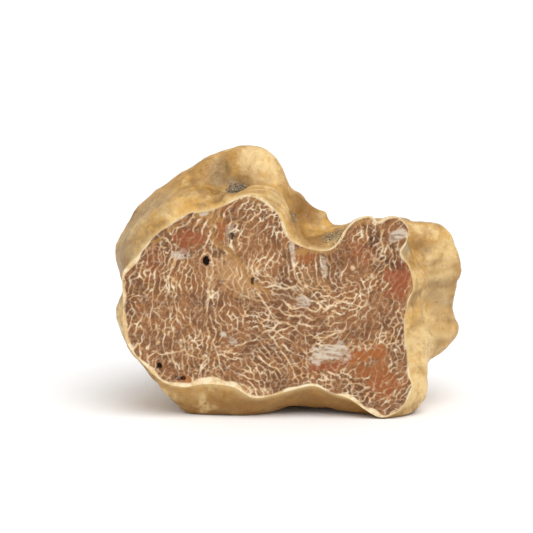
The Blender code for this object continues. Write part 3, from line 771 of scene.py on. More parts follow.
def vein_map(pattern):
    """Brightness of the veins from 0 to 1 on the pattern's grid.

    Fine veins lie on the ridge lines of the labyrinth with a bell-shaped section, cross links and
    faint threads on some of the walls of stretched cells, and the stoutest veins along their routes
    and at their knots.
    """
    direction, strict = pattern.flow()
    direction = direction + 0.35 * pattern.noise(1.0)
    wide = np.zeros(pattern.x.shape)
    for (x, z), radius, share in WIDE_MESHES:
        wide = np.maximum(wide, share * np.exp(-((pattern.x - x) ** 2 + (pattern.z - z) ** 2) / radius**2))
    ridges = pattern.labyrinth(direction, strict * 0.8, wide)
    moved_x = pattern.x + 0.13 * pattern.noise(0.35)
    moved_z = pattern.z + 0.13 * pattern.noise(0.35)
    ridges = pattern.sample(ridges, moved_x, moved_z)
    distance, is_ridge, height = pattern.crest_distance(ridges)
    width = np.clip(FINE_WIDTH * (1.0 + 0.3 * pattern.noise(0.8)) * (1.0 + 0.45 * wide), 0.08, 0.28)
    there = np.clip((height + 0.3 * pattern.noise(0.6) + 0.05) / 0.35, 0.0, 1.0)
    fine = np.exp(-(distance / width) ** 2) * there * is_ridge
    wall, chance = pattern.cell_walls(direction, 1.0 + 0.6 * strict, LINK_PITCH)
    links = 0.8 * np.exp(-(wall / LINK_WIDTH) ** 2) * np.clip((0.55 - chance) / 0.25, 0.0, 1.0)
    bright = np.clip(0.82 + 0.25 * pattern.noise(1.0), 0.45, 1.2)
    veins = np.maximum(fine, links) * bright
    wall, chance = pattern.cell_walls(direction, 1.0 + strict, THREAD_PITCH)
    threads = 0.42 * np.exp(-(wall / THREAD_WIDTH) ** 2) * np.clip((0.7 - chance) / 0.3, 0.0, 1.0)
    veins = np.maximum(veins, threads)
    swell = np.clip(1.0 + 0.35 * pattern.noise(0.5), 0.4, 1.7)
    for half_width, knots in ROUTES:
        line = wobbled(pattern, smooth_line(knots, 60, False), WOBBLE)
        gap = pattern.route_distance(line)
        veins = np.maximum(veins, 0.92 * np.exp(-(gap / (0.60 * half_width * swell)) ** 2))
    for x, z, radius in KNOTS:
        gap = np.hypot(pattern.x - x, pattern.z - z) * (1.0 + 0.3 * pattern.noise(0.3))
        veins = np.maximum(veins, np.exp(-(gap / (0.8 * radius)) ** 2))
    return np.clip(pattern.blur(veins, 0.06) * 1.05, 0.0, 1.0)


def flesh_patch(pattern, kind, ragged):
    """Mask of one kind of patch: turned ellipses with a soft edge that noise makes ragged."""
    total = np.zeros(pattern.x.shape)
    for patch, (x, z), (half_x, half_z), turn, strength in FLESH_PATCHES:
        if patch == kind:
            c, s = math.cos(math.radians(turn)), math.sin(math.radians(turn))
            u = ((pattern.x - x) * c + (pattern.z - z) * s) / half_x
            v = ((pattern.z - z) * c - (pattern.x - x) * s) / half_z
            edge = HOLE_EDGE - np.hypot(u, v) + 0.28 * ragged
            total = np.maximum(total, strength * ease(edge / SOFT_EDGE))
    return total


# ================================================================ the cut face as a surface
def rim_distance(x, z):
    """Distance of each point from the rim, positive inside, and the nearest point of the rim.

    A point is inside where it is nearer to the hub than the rim is in that direction.
    """
    rim = rim_curve(2400)
    angle = np.unwrap(np.arctan2(rim[:, 1] - HUB[1], rim[:, 0] - HUB[0]))
    reach = np.hypot(rim[:, 0] - HUB[0], rim[:, 1] - HUB[1])
    order = np.argsort(np.mod(angle, 2.0 * math.pi))
    around = np.mod(angle, 2.0 * math.pi)[order]
    at = np.mod(np.arctan2(z - HUB[1], x - HUB[0]), 2.0 * math.pi)
    limit = np.interp(at, around, reach[order], period=2.0 * math.pi)
    inside = np.hypot(x - HUB[0], z - HUB[1]) < limit
    nearest = np.zeros(x.shape, dtype=int)
    distance = np.zeros(x.shape)
    for row in range(len(x)):
        gap = (x[row][:, None] - rim[:, 0]) ** 2 + (z[row][:, None] - rim[:, 1]) ** 2
        nearest[row] = gap.argmin(axis=1)
        distance[row] = np.sqrt(gap.min(axis=1))
    return np.where(inside, distance, -distance), rim[nearest]


def face_grid():
    """Square grid cut to the rim: (x, z, distance inside, quads, triangles), unused points left out.

    Points within SNAP of a cell of the rim are moved onto it, where two may meet. Then no side of a
    cell crosses the rim, so a cell is kept whole if none of its corners is outside, and as a triangle
    if one is.
    """
    low = np.min(RIM, axis=0) - 1.0
    high = np.max(RIM, axis=0) + 1.0
    x, z = np.meshgrid(np.arange(low[0], high[0], CELL), np.arange(low[1], high[1], CELL))
    distance, foot = rim_distance(x, z)
    on_rim = np.abs(distance) < SNAP * CELL
    x = np.where(on_rim, foot[..., 0], x)
    z = np.where(on_rim, foot[..., 1], z)
    inside = (distance > 0.0) & ~on_rim
    outside = (distance < 0.0) & ~on_rim
    index = np.arange(x.size).reshape(x.shape)

    def corners(field):
        return np.stack([field[:-1, :-1], field[:-1, 1:], field[1:, 1:], field[1:, :-1]], axis=-1)

    cells = corners(index).reshape(-1, 4)
    cell_inside = corners(inside).reshape(-1, 4)
    cell_outside = corners(outside).reshape(-1, 4)
    used = cell_inside.any(axis=1)
    whole = used & (cell_outside.sum(axis=1) == 0)
    part = used & (cell_outside.sum(axis=1) == 1)
    quads = cells[whole]
    missing = cell_outside[part].argmax(axis=1)
    turned = (missing[:, None] + np.array([1, 2, 3])) % 4
    triangles = np.take_along_axis(cells[part], turned, axis=1)
    kept = np.unique(np.concatenate([quads.ravel(), triangles.ravel()]))
    renumber = np.zeros(x.size, dtype=int)
    renumber[kept] = np.arange(len(kept))
    inward = np.where(on_rim, 0.0, distance).ravel()[kept]
    return x.ravel()[kept], z.ravel()[kept], inward, renumber[quads], renumber[triangles]


def border_edges(quads, triangles):
    """Directed sides that only one face uses, as (from, to) in the order of that face."""
    sides = [quads[:, [k, (k + 1) % 4]] for k in range(4)]
    sides += [triangles[:, [k, (k + 1) % 3]] for k in range(3)]
    sides = np.concatenate(sides)
    size = int(sides.max()) + 1
    forward = sides[:, 0] * size + sides[:, 1]
    backward = sides[:, 1] * size + sides[:, 0]
    return sides[~np.isin(forward, backward)]


def flesh_surface():
    """The cut face as (points, quads, triangles, attributes): a thin closed slab with a carved front.

    The front's depth behind the cut is: soft unevenness, less where a vein stands proud, more in the
    holes and along the seam, and nothing at the rim.
    """
    pattern = Pattern()
    veins = vein_map(pattern)
    ragged = pattern.noise(0.5) + 0.5 * pattern.noise(0.2)
    masks = {kind: flesh_patch(pattern, kind, ragged) for kind in FLESH_KINDS}
    seam_gap = pattern.route_distance(wobbled(pattern, smooth_line(SEAM, 90, False), WOBBLE))
    seam = np.exp(-(seam_gap / SEAM_WIDTH) ** 2)
    masks["ochre"] = np.maximum(masks["ochre"], 0.85 * seam)
    pits = np.zeros(pattern.x.shape)
    for (x, z), (half_x, half_z), depth in HOLES:
        gap = np.hypot((pattern.x - x) / half_x, (pattern.z - z) / half_z) + 0.25 * ragged
        pits = np.maximum(pits, depth * ease((HOLE_EDGE - gap) / SOFT_EDGE))
    tone = 0.5 * pattern.noise(0.4) + 0.35 * pattern.noise(1.6) + 0.2 * pattern.noise(4.0)
    uneven = 0.05 * pattern.noise(0.9) + 0.06 * pattern.noise(3.0)
    fibres = pattern.filtered(
        pattern.rng.standard_normal(pattern.x.shape),
        np.exp(-2.0 * math.pi**2 * ((pattern.across * 0.45) ** 2 + (pattern.up * 0.11) ** 2)))
    rind_width = RIND_WIDTH * np.clip(1.0 + 0.4 * pattern.noise(1.1), 0.3, 1.8)
    for (x, z), radius, share in RIND_CHANGES:
        rind_width *= 1.0 + share * np.exp(-((pattern.x - x) ** 2 + (pattern.z - z) ** 2) / radius**2)
    x, z, inward, quads, triangles = face_grid()

    def read(field):
        return pattern.sample(field, x, z)

    depth = FACE_DEPTH + read(uneven) - VEIN_HEIGHT * read(veins) + read(pits) + SEAM_DEPTH * read(seam)
    depth = ease(inward / FACE_EASE) * depth
    count = len(x)
    front = np.stack([x, np.maximum(depth, 0.0), z], axis=1)
    border = border_edges(quads, triangles)
    loop = np.unique(border)
    behind = np.zeros(count, dtype=int)
    behind[loop] = count + np.arange(len(loop))
    back = np.stack([HUB[0] + (x[loop] - HUB[0]) * BACKING_SHARE, np.full(len(loop), BACKING),
                     HUB[1] + (z[loop] - HUB[1]) * BACKING_SHARE], axis=1)
    hub = count + len(loop)
    points = np.concatenate([front, back, [[HUB[0], BACKING + BACKING_BULGE, HUB[1]]]])
    start, end = border[:, 0], border[:, 1]
    walls = np.stack([end, start, behind[start], behind[end]], axis=1)
    fan = np.stack([behind[end], behind[start], np.full(len(border), hub)], axis=1)
    attributes = {name: read(mask) for name, mask in masks.items()}
    attributes["vein"] = np.clip(read(veins), 0.0, 1.0)
    attributes["tone"] = read(tone)
    attributes["fibre"] = read(fibres / fibres.std())
    attributes["rind"] = ease((read(rind_width) - inward) / RIND_EDGE)
    # Painted shade: the depth of each hole, which darkens its colour.
    attributes["pit_shade"] = np.clip(read(pits) / 1.1, 0.0, 1.0)
    for name, value in attributes.items():
        attributes[name] = np.concatenate([value, value[loop], value[:1]])
    return points, np.concatenate([quads, walls]), np.concatenate([triangles, fan]), attributes


# ================================================================ the soil
def crumb_form():
    """Points, quads and triangles of one closed ball.

    Its rings are (cos a sin b, sin a sin b, cos b), and it has a pole at each end.
    """
    b = np.arange(1, CRUMB_RINGS) * math.pi / CRUMB_RINGS
    a = np.arange(CRUMB_SIDES) * 2.0 * math.pi / CRUMB_SIDES
    ring = np.stack([np.outer(np.sin(b), np.cos(a)), np.outer(np.sin(b), np.sin(a)),
                     np.outer(np.cos(b), np.ones(CRUMB_SIDES))], axis=-1).reshape(-1, 3)
    points = np.concatenate([ring, [[0.0, 0.0, 1.0], [0.0, 0.0, -1.0]]])
    i = np.arange(CRUMB_SIDES)
    j = (i + 1) % CRUMB_SIDES
    row = np.arange(CRUMB_RINGS - 2)[:, None] * CRUMB_SIDES
    quads = np.stack([row + i, row + i + CRUMB_SIDES, row + j + CRUMB_SIDES, row + j], axis=-1).reshape(-1, 4)
    top = np.full(CRUMB_SIDES, len(ring))
    last = (CRUMB_RINGS - 2) * CRUMB_SIDES
    first_cap = np.stack([top, i, j], axis=-1)
    last_cap = np.stack([last + i, top + 1, last + j], axis=-1)
    triangles = np.concatenate([first_cap, last_cap])
    return points, quads, triangles


def soil_surface(largest):
    """All crumbs as (points, quads, triangles, attributes): balls squashed, turned and dented at random.

    They sit on points of the skin near each heap's middle. Their parts that would stand in front of
    the cut are pressed flat behind it.
    """
    rng = np.random.default_rng(5)
    form = skin_form(COLUMNS, ROWS)[0]
    normals = grid_normals(form).reshape(-1, 3)
    form = form.reshape(-1, 3)
    seats, ways = [], []
    for middle, radius, count in SOIL_HEAPS:
        near = np.flatnonzero(np.linalg.norm(form - np.array(middle), axis=1) < radius)
        picked = rng.choice(near, count)
        seats.append(form[picked] + rng.normal(0.0, 0.12, (count, 3)))
        ways.append(normals[picked])
    seats = np.concatenate(seats)
    ways = np.concatenate(ways)
    total = len(seats)
    ball, ball_quads, ball_triangles = crumb_form()
    size = largest * rng.uniform(0.25, 1.0, total) ** 1.5
    stretch = rng.uniform(0.6, 1.0, (total, 1, 3)) * size[:, None, None]
    dents = rng.uniform(0.8, 1.15, (total, len(ball), 1))
    turn = np.linalg.qr(rng.normal(size=(total, 3, 3)))[0]
    turn *= np.sign(np.linalg.det(turn))[:, None, None]
    points = np.einsum("nij,nkj->nki", turn, ball[None] * stretch * dents)
    points += (seats + ways * (size * CRUMB_STAND)[:, None])[:, None, :]
    points[..., 1] = np.maximum(points[..., 1], CRUMB_FRONT)
    offset = (np.arange(total) * len(ball))[:, None, None]
    quads = (ball_quads[None] + offset).reshape(-1, 4)
    triangles = (ball_triangles[None] + offset).reshape(-1, 3)
    shade = np.repeat(rng.uniform(0.0, 1.0, total), len(ball))
    return points.reshape(-1, 3), quads, triangles, {"shade": shade}


# ================================================================ meshes
def add_piece(name, surface, material, sharp):
    """Put a surface into a new mesh object that rides on the only body, with edges sharp above an angle."""
    points, quads, triangles, attributes = surface
    mesh = bpy.data.meshes.new(name)
    placed = points * MM
    placed[:, 1] += CUT_Y * MM
    mesh.from_pydata(placed, [], quads.tolist() + triangles.tolist())
    mesh.validate()
    for key, value in attributes.items():
        layer = mesh.attributes.new(key, "FLOAT", "POINT")
        layer.data.foreach_set("value", value.astype(np.float32))
    mesh.shade_smooth()
    mesh.set_sharp_from_angle(angle=math.radians(sharp))
    mesh.materials.append(material)
    piece = bpy.data.objects.new(name, mesh)
    bpy.context.scene.collection.objects.link(piece)
    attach(piece, "root")
    return piece


# ================================================================ materials
# Places of the colour sockets of Blender's mix node
MIX_SHARE = 0
MIX_UNDER = 6
MIX_OVER = 7
MIX_RESULT = 2
SCATTER = (1.0, 0.5, 0.25)      # red light travels furthest below the surface


def linear(colour):
    """A screen colour as the shader's linear one, by the sRGB curve, with full opacity."""
    value = np.array(colour, dtype=float)
    value = np.where(value <= 0.04045, value / 12.92, ((value + 0.055) / 1.055) ** 2.4)
    return (*[float(part) for part in value], 1.0)


def put(tree, socket, value):
    """Join an output to the socket, or set the socket's own value."""
    if isinstance(value, bpy.types.NodeSocket):
        tree.links.new(value, socket)
    else:
        socket.default_value = value


def add_node(tree, kind, inputs, **settings):
    """A node with its settings, and its inputs given by name or number."""
    made = tree.nodes.new(kind)
    for name, value in settings.items():
        setattr(made, name, value)
    for name, value in inputs.items():
        put(tree, made.inputs[name], value)
    return made


def attribute(tree, name):
    """The mesh's own mask of that name."""
    return add_node(tree, "ShaderNodeAttribute", {}, attribute_name=name).outputs["Fac"]


def sums(tree, operation, a, b):
    """One sum of two values."""
    return add_node(tree, "ShaderNodeMath", {0: a, 1: b}, operation=operation).outputs[0]


def blend(tree, share, a, b):
    """Colour a covered by colour b by the given share."""
    inputs = {MIX_SHARE: share, MIX_UNDER: a, MIX_OVER: b}
    return add_node(tree, "ShaderNodeMix", inputs, data_type="RGBA").outputs[MIX_RESULT]


def tint(tree, base, mask, amount, colour):
    """The base covered by a screen colour where the mask is, up to the given amount."""
    return blend(tree, sums(tree, "MULTIPLY", mask, amount), base, linear(colour))


def stain(tree, base, name, amount, colour):
    """The base tinted where the mesh's own mask of that name is."""
    return tint(tree, base, attribute(tree, name), amount, colour)


def ramp(tree, value, low, high, start, end):
    """Value eased from low..high to start..end."""
    inputs = {"Value": value, "From Min": low, "From Max": high, "To Min": start, "To Max": end}
    return add_node(tree, "ShaderNodeMapRange", inputs, interpolation_type="SMOOTHSTEP").outputs["Result"]


def noise_value(tree, vector, scale, detail, roughness):
    """Blender's noise at a number of waves per metre."""
    inputs = {"Vector": vector, "Scale": scale, "Detail": detail, "Roughness": roughness}
    return add_node(tree, "ShaderNodeTexNoise", inputs).outputs["Fac"]


def new_group(name, inputs, outputs):
    """An empty shader node group with its sockets: (name, kind, default) and (name, kind)."""
    group = bpy.data.node_groups.new(name, "ShaderNodeTree")
    for label, kind, default in inputs:
        socket = group.interface.new_socket(name=label, in_out="INPUT", socket_type=kind)
        if default is not None:
            socket.default_value = default
    for label, kind in outputs:
        group.interface.new_socket(name=label, in_out="OUTPUT", socket_type=kind)
    return group, group.nodes.new("NodeGroupInput"), group.nodes.new("NodeGroupOutput")


def mottle_group():
    """Patches of two sizes as a mask from 0 to 1: coarse noise plus half as much of a finer one, eased."""
    found = bpy.data.node_groups.get("Mottle")
    if found:
        return found
    group, given, result = new_group(
        "Mottle",
        [("Vector", "NodeSocketVector", None), ("Waves per metre", "NodeSocketFloat", 150.0),
         ("Low", "NodeSocketFloat", 0.4), ("High", "NodeSocketFloat", 0.6)],
        [("Mask", "NodeSocketFloat")])
    coarse = noise_value(group, given.outputs["Vector"], given.outputs["Waves per metre"], 3.0, 0.55)
    finer = sums(group, "MULTIPLY", given.outputs["Waves per metre"], 3.7)
    fine = noise_value(group, given.outputs["Vector"], finer, 3.0, 0.6)
    both = sums(group, "MULTIPLY_ADD", fine, 0.5)
    both.node.inputs[2].default_value = -0.25
    both = sums(group, "ADD", coarse, both)
    mask = ramp(group, both, given.outputs["Low"], given.outputs["High"], 0.0, 1.0)
    group.links.new(mask, result.inputs["Mask"])
    return group


def grain_group():
    """Fine grain as a height from 0 to 1: small cells under noise of the same size."""
    found = bpy.data.node_groups.get("Fine grain")
    if found:
        return found
    group, given, result = new_group(
        "Fine grain",
        [("Vector", "NodeSocketVector", None), ("Waves per metre", "NodeSocketFloat", 2000.0),
         ("Cells", "NodeSocketFloat", 0.5)],
        [("Height", "NodeSocketFloat")])
    soft = noise_value(group, given.outputs["Vector"], given.outputs["Waves per metre"], 4.0, 0.6)
    inputs = {"Vector": given.outputs["Vector"], "Scale": given.outputs["Waves per metre"]}
    cells = add_node(group, "ShaderNodeTexVoronoi", inputs, feature="SMOOTH_F1").outputs["Distance"]
    cells = sums(group, "MULTIPLY", cells, given.outputs["Cells"])
    group.links.new(sums(group, "SUBTRACT", soft, cells), result.inputs["Height"])
    return group


def use_group(tree, group, inputs):
    """The group placed in a material with its own values."""
    made = tree.nodes.new("ShaderNodeGroup")
    made.node_tree = group
    for name, value in inputs.items():
        put(tree, made.inputs[name], value)
    return made.outputs[0]


def mottle(tree, vector, waves, low, high):
    """Mask of soft patches."""
    inputs = {"Vector": vector, "Waves per metre": waves, "Low": low, "High": high}
    return use_group(tree, mottle_group(), inputs)


def grain(tree, vector, waves, cells):
    """Height of a fine grain."""
    return use_group(tree, grain_group(), {"Vector": vector, "Waves per metre": waves, "Cells": cells})


def new_material(name):
    """An empty material: its tree, its shader and the object coordinates."""
    material = bpy.data.materials.new(name)
    material.use_nodes = True
    tree = material.node_tree
    place = tree.nodes.new("ShaderNodeTexCoord").outputs["Object"]
    return material, tree, tree.nodes["Principled BSDF"], place


def bump(tree, height, strength, distance, normal=None):
    """Normal bent by a height given from 0 to 1, the distance in metres."""
    inputs = {"Height": height, "Strength": strength, "Distance": distance}
    if normal is not None:
        inputs["Normal"] = normal
    return add_node(tree, "ShaderNodeBump", inputs).outputs["Normal"]


def set_tissue(shader, specular, light, reach):
    """Sheen, and how much light passes how far below the surface, in metres."""
    shader.inputs["Specular IOR Level"].default_value = specular
    shader.inputs["Subsurface Weight"].default_value = light
    shader.inputs["Subsurface Radius"].default_value = SCATTER
    shader.inputs["Subsurface Scale"].default_value = reach


def skin_material(s):
    """Suede-like ochre skin: warm and pale mottling, grey that is partly bloom and partly painted shade,
    ochre below, painted brown shade and soil in the folds.
    """
    material, tree, shader, place = new_material("Truffle skin")
    tan = blend(tree, mottle(tree, place, 85.0, 0.42, 0.62), linear(s.tan), linear(s.honey))
    tan = tint(tree, tan, mottle(tree, place, 240.0, 0.46, 0.76), 0.8, s.cream)
    tan = tint(tree, tan, mottle(tree, place, 160.0, 0.46, 0.72), 0.75, s.brown_and_fold_shade)
    tan = stain(tree, tan, "ochre", 0.9, s.ochre)
    under = sums(tree, "MULTIPLY", attribute(tree, "under"), mottle(tree, place, 130.0, 0.2, 0.6))
    tan = blend(tree, under, tan, linear(s.ochre))
    pale = sums(tree, "MULTIPLY", attribute(tree, "pale"), mottle(tree, place, 320.0, 0.25, 0.55))
    tan = tint(tree, tan, pale, 0.85, s.cream)
    # Grey: partly greyish skin, partly painted shade on the left side, in dents and in creases.
    tan = stain(tree, tan, "grey", 0.75, s.grey)
    # Brown patches: mostly painted shade in dents, creases and under the front of the bottom, partly brown
    # skin.
    tan = stain(tree, tan, "brown_and_fold_shade", 0.8, s.brown_and_fold_shade)
    tan = stain(tree, tan, "crest", 0.5, s.cream)
    lines = ramp(tree, attribute(tree, "lines"), 0.6, 1.0, 0.0, 0.55)
    tan = blend(tree, lines, tan, linear(s.cream))
    # Painted shade: brown laid along the furrows between the lobes, the two deepest dents and the creases.
    fold_shade = sums(tree, "MULTIPLY", attribute(tree, "furrow"), mottle(tree, place, 500.0, 0.15, 0.55))
    tan = tint(tree, tan, fold_shade, 0.7, s.brown_and_fold_shade)
    specks = ramp(tree, noise_value(tree, place, 1500.0, 2.0, 0.5), 0.66, 0.74, 0.0, 0.5)
    tan = blend(tree, specks, tan, linear(s.brown_and_fold_shade))
    grit = ramp(tree, noise_value(tree, place, 2600.0, 3.0, 0.7), 0.30, 0.52, 0.0, 1.0)
    soil = sums(tree, "MULTIPLY", attribute(tree, "soil"), grit)
    tan = blend(tree, soil, tan, linear(s.soil))
    tan = stain(tree, tan, "edge", 0.45, s.cream)
    put(tree, shader.inputs["Base Color"], tan)
    dull = ramp(tree, noise_value(tree, place, 700.0, 3.0, 0.6), 0.3, 0.7, 0.36, 0.56)
    put(tree, shader.inputs["Roughness"], dull)
    lumpy = bump(tree, noise_value(tree, place, 320.0, 4.0, 0.55), 0.8, 0.0012)
    fine = grain(tree, place, 1300.0, 0.5)
    put(tree, shader.inputs["Normal"], bump(tree, fine, s.grain, 0.00018, lumpy))
    set_tissue(shader, 0.4, s.depth_of_light, 0.001)
    return material


def flesh_material(s):
    """Brown flesh under cream veins, with amber, red and grey areas, the cream band of the cut skin, and
    painted shade in and round the holes and along the seam's groove.
    """
    material, tree, shader, place = new_material("Truffle flesh")
    tone = ramp(tree, attribute(tree, "tone"), -1.2, 1.2, 0.0, 1.0)
    flesh = blend(tree, tone, linear(s.flesh_dark), linear(s.flesh_light))
    fine = ramp(tree, noise_value(tree, place, 2200.0, 3.0, 0.6), 0.35, 0.65, 0.0, 0.5)
    flesh = blend(tree, fine, flesh, linear(s.flesh_dark))
    flesh = stain(tree, flesh, "pale", 0.6, s.flesh_pale)
    flesh = stain(tree, flesh, "amber", 0.95, s.amber)
    flesh = stain(tree, flesh, "red", 0.95, s.red)
    # Dark patches: painted shade round the holes and along the seam's groove, and a few dark spots of the
    # flesh.
    flesh = stain(tree, flesh, "dark", 0.85, s.dark_spots_and_hole_shade)
    flesh = stain(tree, flesh, "ochre", 0.85, s.ochre)
    warm = ramp(tree, noise_value(tree, place, 900.0, 3.0, 0.6), 0.35, 0.65, 0.0, 1.0)
    vein_colour = blend(tree, warm, linear(s.vein), linear(s.vein_warm))
    covered = sums(tree, "MAXIMUM", attribute(tree, "amber"), attribute(tree, "ochre"))
    covered = sums(tree, "MAXIMUM", covered, attribute(tree, "red"))
    thin = ramp(tree, covered, 0.0, 1.0, 1.0, 0.2)
    veins = sums(tree, "MULTIPLY", ramp(tree, attribute(tree, "vein"), 0.0, 0.95, 0.0, 1.0), thin)
    flesh = blend(tree, veins, flesh, vein_colour)
    streak = ramp(tree, attribute(tree, "fibre"), -1.4, 1.2, 0.35, 1.0)
    flesh = stain(tree, flesh, "grey", streak, s.grey)
    rind_colour = blend(tree, mottle(tree, place, 420.0, 0.35, 0.7), linear(s.rind), linear(s.rind_warm))
    flesh = blend(tree, sums(tree, "MULTIPLY", attribute(tree, "rind"), 0.9), flesh, rind_colour)
    # Painted shade: the holes darkened towards near black by their depth.
    flesh = blend(tree, attribute(tree, "pit_shade"), flesh, linear(s.dark_spots_and_hole_shade))
    put(tree, shader.inputs["Base Color"], flesh)
    shine = ramp(tree, attribute(tree, "amber"), 0.0, 1.0, 0.55, 0.32)
    put(tree, shader.inputs["Roughness"], shine)
    veined = bump(tree, attribute(tree, "vein"), 0.35, 0.00025)
    moist = grain(tree, place, 2600.0, 0.6)
    put(tree, shader.inputs["Normal"], bump(tree, moist, s.grain, 0.00012, veined))
    set_tissue(shader, 0.35, s.depth_of_light, 0.0006)
    return material


def soil_material(s):
    """Dry soil: each crumb between dark and pale, with a gritty surface."""
    material, tree, shader, place = new_material("Dry soil")
    shade = ramp(tree, attribute(tree, "shade"), 0.0, 1.0, 0.0, 1.0)
    colour = blend(tree, shade, linear(s.dark), linear(s.pale))
    colour = blend(tree, mottle(tree, place, 2500.0, 0.4, 0.7), colour, linear(s.dark))
    put(tree, shader.inputs["Base Color"], colour)
    put(tree, shader.inputs["Normal"], bump(tree, grain(tree, place, 5000.0, 0.7), 0.8, 0.0001))
    shader.inputs["Roughness"].default_value = 0.9
    return material


def floor_material(s):
    """Plain pale floor."""
    material, tree, shader, _ = new_material("Studio floor")
    put(tree, shader.inputs["Base Color"], linear(s.floor_colour))
    shader.inputs["Roughness"].default_value = 0.9
    shader.inputs["Specular IOR Level"].default_value = 0.1
    return material


# ================================================================ settings
def colour_setting(name, description, red, green, blue):
    """A colour property given as the 0 to 255 values of a screen."""
    return bpy.props.FloatVectorProperty(
        name=name, description=description, subtype="COLOR_GAMMA", size=3, min=0.0, max=1.0,
        default=(red / 255.0, green / 255.0, blue / 255.0))


def share_setting(name, description, default):
    """A share from 0 to 1."""
    return bpy.props.FloatProperty(name=name, description=description, default=default, min=0.0, max=1.0,
                                   subtype="FACTOR")


def angle_setting(name, description, degrees):
    """An angle, given in degrees and kept in radians."""
    return bpy.props.FloatProperty(name=name, description=description, default=math.radians(degrees),
                                   subtype="ANGLE", unit="ROTATION")


def number_setting(name, description, default, low):
    """A plain number no smaller than low."""
    return bpy.props.FloatProperty(name=name, description=description, default=default, min=low)


def length_setting(name, description, default):
    """A length in metres."""
    return bpy.props.FloatProperty(name=name, description=description, default=default, min=0.0,
                                   unit="LENGTH", subtype="DISTANCE", precision=5)


class SkinSettings(bpy.types.PropertyGroup):
    """Colours and finish of the skin."""
    tan: colour_setting("Tan", "Main colour of the skin", 188, 147, 86)
    honey: colour_setting("Honey", "Warmer areas", 206, 158, 78)
    cream: colour_setting("Cream", "Pale areas and the edge of the cut", 232, 202, 144)
    # Brown blotches of the skin, and painted shade at the bottom of the folds, in dents and under the front.
    brown_and_fold_shade: colour_setting("Brown", "Blotches and the bottom of the folds", 138, 99, 48)
    ochre: colour_setting("Ochre", "Underside and deep folds", 140, 96, 34)
    # Grey: partly bloomed skin, partly painted shade on the left side, in dents and in creases.
    grey: colour_setting("Grey", "Bloomed areas", 156, 138, 108)
    soil: colour_setting("Soil", "Stains of soil", 136, 120, 96)
    grain: share_setting("Grain", "Strength of the fine grain", 0.45)
    depth_of_light: share_setting("Depth of light", "How much light passes below the surface", 0.12)


class FleshSettings(bpy.types.PropertyGroup):
    """Colours and finish of the cut face."""
    flesh_dark: colour_setting("Dark flesh", "Darker flesh between the veins", 108, 66, 34)
    flesh_light: colour_setting("Light flesh", "Lighter flesh between the veins", 154, 102, 58)
    flesh_pale: colour_setting("Pale flesh", "Flesh of the pale areas", 196, 152, 100)
    amber: colour_setting("Amber", "Glossy amber areas", 158, 88, 30)
    red: colour_setting("Red", "Reddish areas", 146, 74, 34)
    ochre: colour_setting("Ochre", "Seam and the flesh next to it", 176, 128, 66)
    # Painted shade of the holes and the seam's groove, and dark spots of the flesh.
    dark_spots_and_hole_shade: colour_setting("Hollow", "Bottom of the holes", 44, 18, 6)
    grey: colour_setting("Grey", "Fibrous grey patches", 206, 190, 170)
    vein: colour_setting("Veins", "Main colour of the veins", 238, 218, 184)
    vein_warm: colour_setting("Warm veins", "Veins that the flesh shows through", 206, 164, 114)
    rind: colour_setting("Rind", "Cut skin round the face", 246, 228, 190)
    rind_warm: colour_setting("Warm rind", "Darker stretches of the cut skin", 220, 184, 130)
    grain: share_setting("Grain", "Strength of the fine grain", 0.35)
    depth_of_light: share_setting("Depth of light", "How much light passes below the surface", 0.10)


class SoilSettings(bpy.types.PropertyGroup):
    """Soil left in the folds."""
    crumb: length_setting("Crumb", "Half size of the largest crumb", 0.00030)
    dark: colour_setting("Dark soil", "Darkest crumbs", 116, 102, 80)
    pale: colour_setting("Pale soil", "Palest crumbs", 186, 172, 148)


class StageSettings(bpy.types.PropertyGroup):
    """Floor, light and camera."""
    floor_colour: colour_setting("Floor", "Colour of the floor", 250, 250, 250)
    floor_size: length_setting("Floor size", "Side of the square floor", 6.0)
    sky: number_setting("Sky", "Strength of the light from all round", 0.68, 0.0)
    key: number_setting("Key light", "Strength of the soft light from above", 1.9, 0.0)
    key_angle: angle_setting("Key size", "Angle that the soft light fills", 50.0)
    elevation: angle_setting("Elevation", "How far the camera looks down", 8.0)
    distance: length_setting("Distance", "From the camera to the cut face", 0.296)
    lens: number_setting("Lens", "Focal length in millimetres", 100.0, 1.0)


# ================================================================ operators
class TRUFFLE_OT_skin(bpy.types.Operator):
    """Build the lobed skin."""
    bl_idname = "truffle.build_skin"
    bl_label = "Build skin"

    def execute(self, context):
        material = skin_material(context.scene.truffle_skin)
        piece = add_piece("truffle_skin", skin_surface(), material, 70.0)
        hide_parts("truffle")
        return {"FINISHED"}


class TRUFFLE_OT_flesh(bpy.types.Operator):
    """Build the veined cut face."""
    bl_idname = "truffle.build_flesh"
    bl_label = "Build cut face"

    def execute(self, context):
        material = flesh_material(context.scene.truffle_flesh)
        piece = add_piece("truffle_flesh", flesh_surface(), material, 75.0)
        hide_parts("truffle")
        return {"FINISHED"}


class TRUFFLE_OT_soil(bpy.types.Operator):
    """Build the soil crumbs in the folds."""
    bl_idname = "truffle.build_soil"
    bl_label = "Build soil"

    def execute(self, context):
        settings = context.scene.truffle_soil
        add_piece("soil_crumbs", soil_surface(settings.crumb / MM), soil_material(settings), 40.0)
        return {"FINISHED"}


# ================================================================ the studio
KEY_FROM = (0.25, -0.55, 1.0)       # direction the soft light comes from
FLOOR_DROP = 0.0001                 # the floor lies this far under the truffle, m
AIM_X = -0.0047                     # the camera looks at this point of the cut face, m
AIM_Z = 0.0312
SENSOR = 36.0                       # width of the camera's sensor, mm
NEAR = 0.01                         # nearest that the camera sees, m


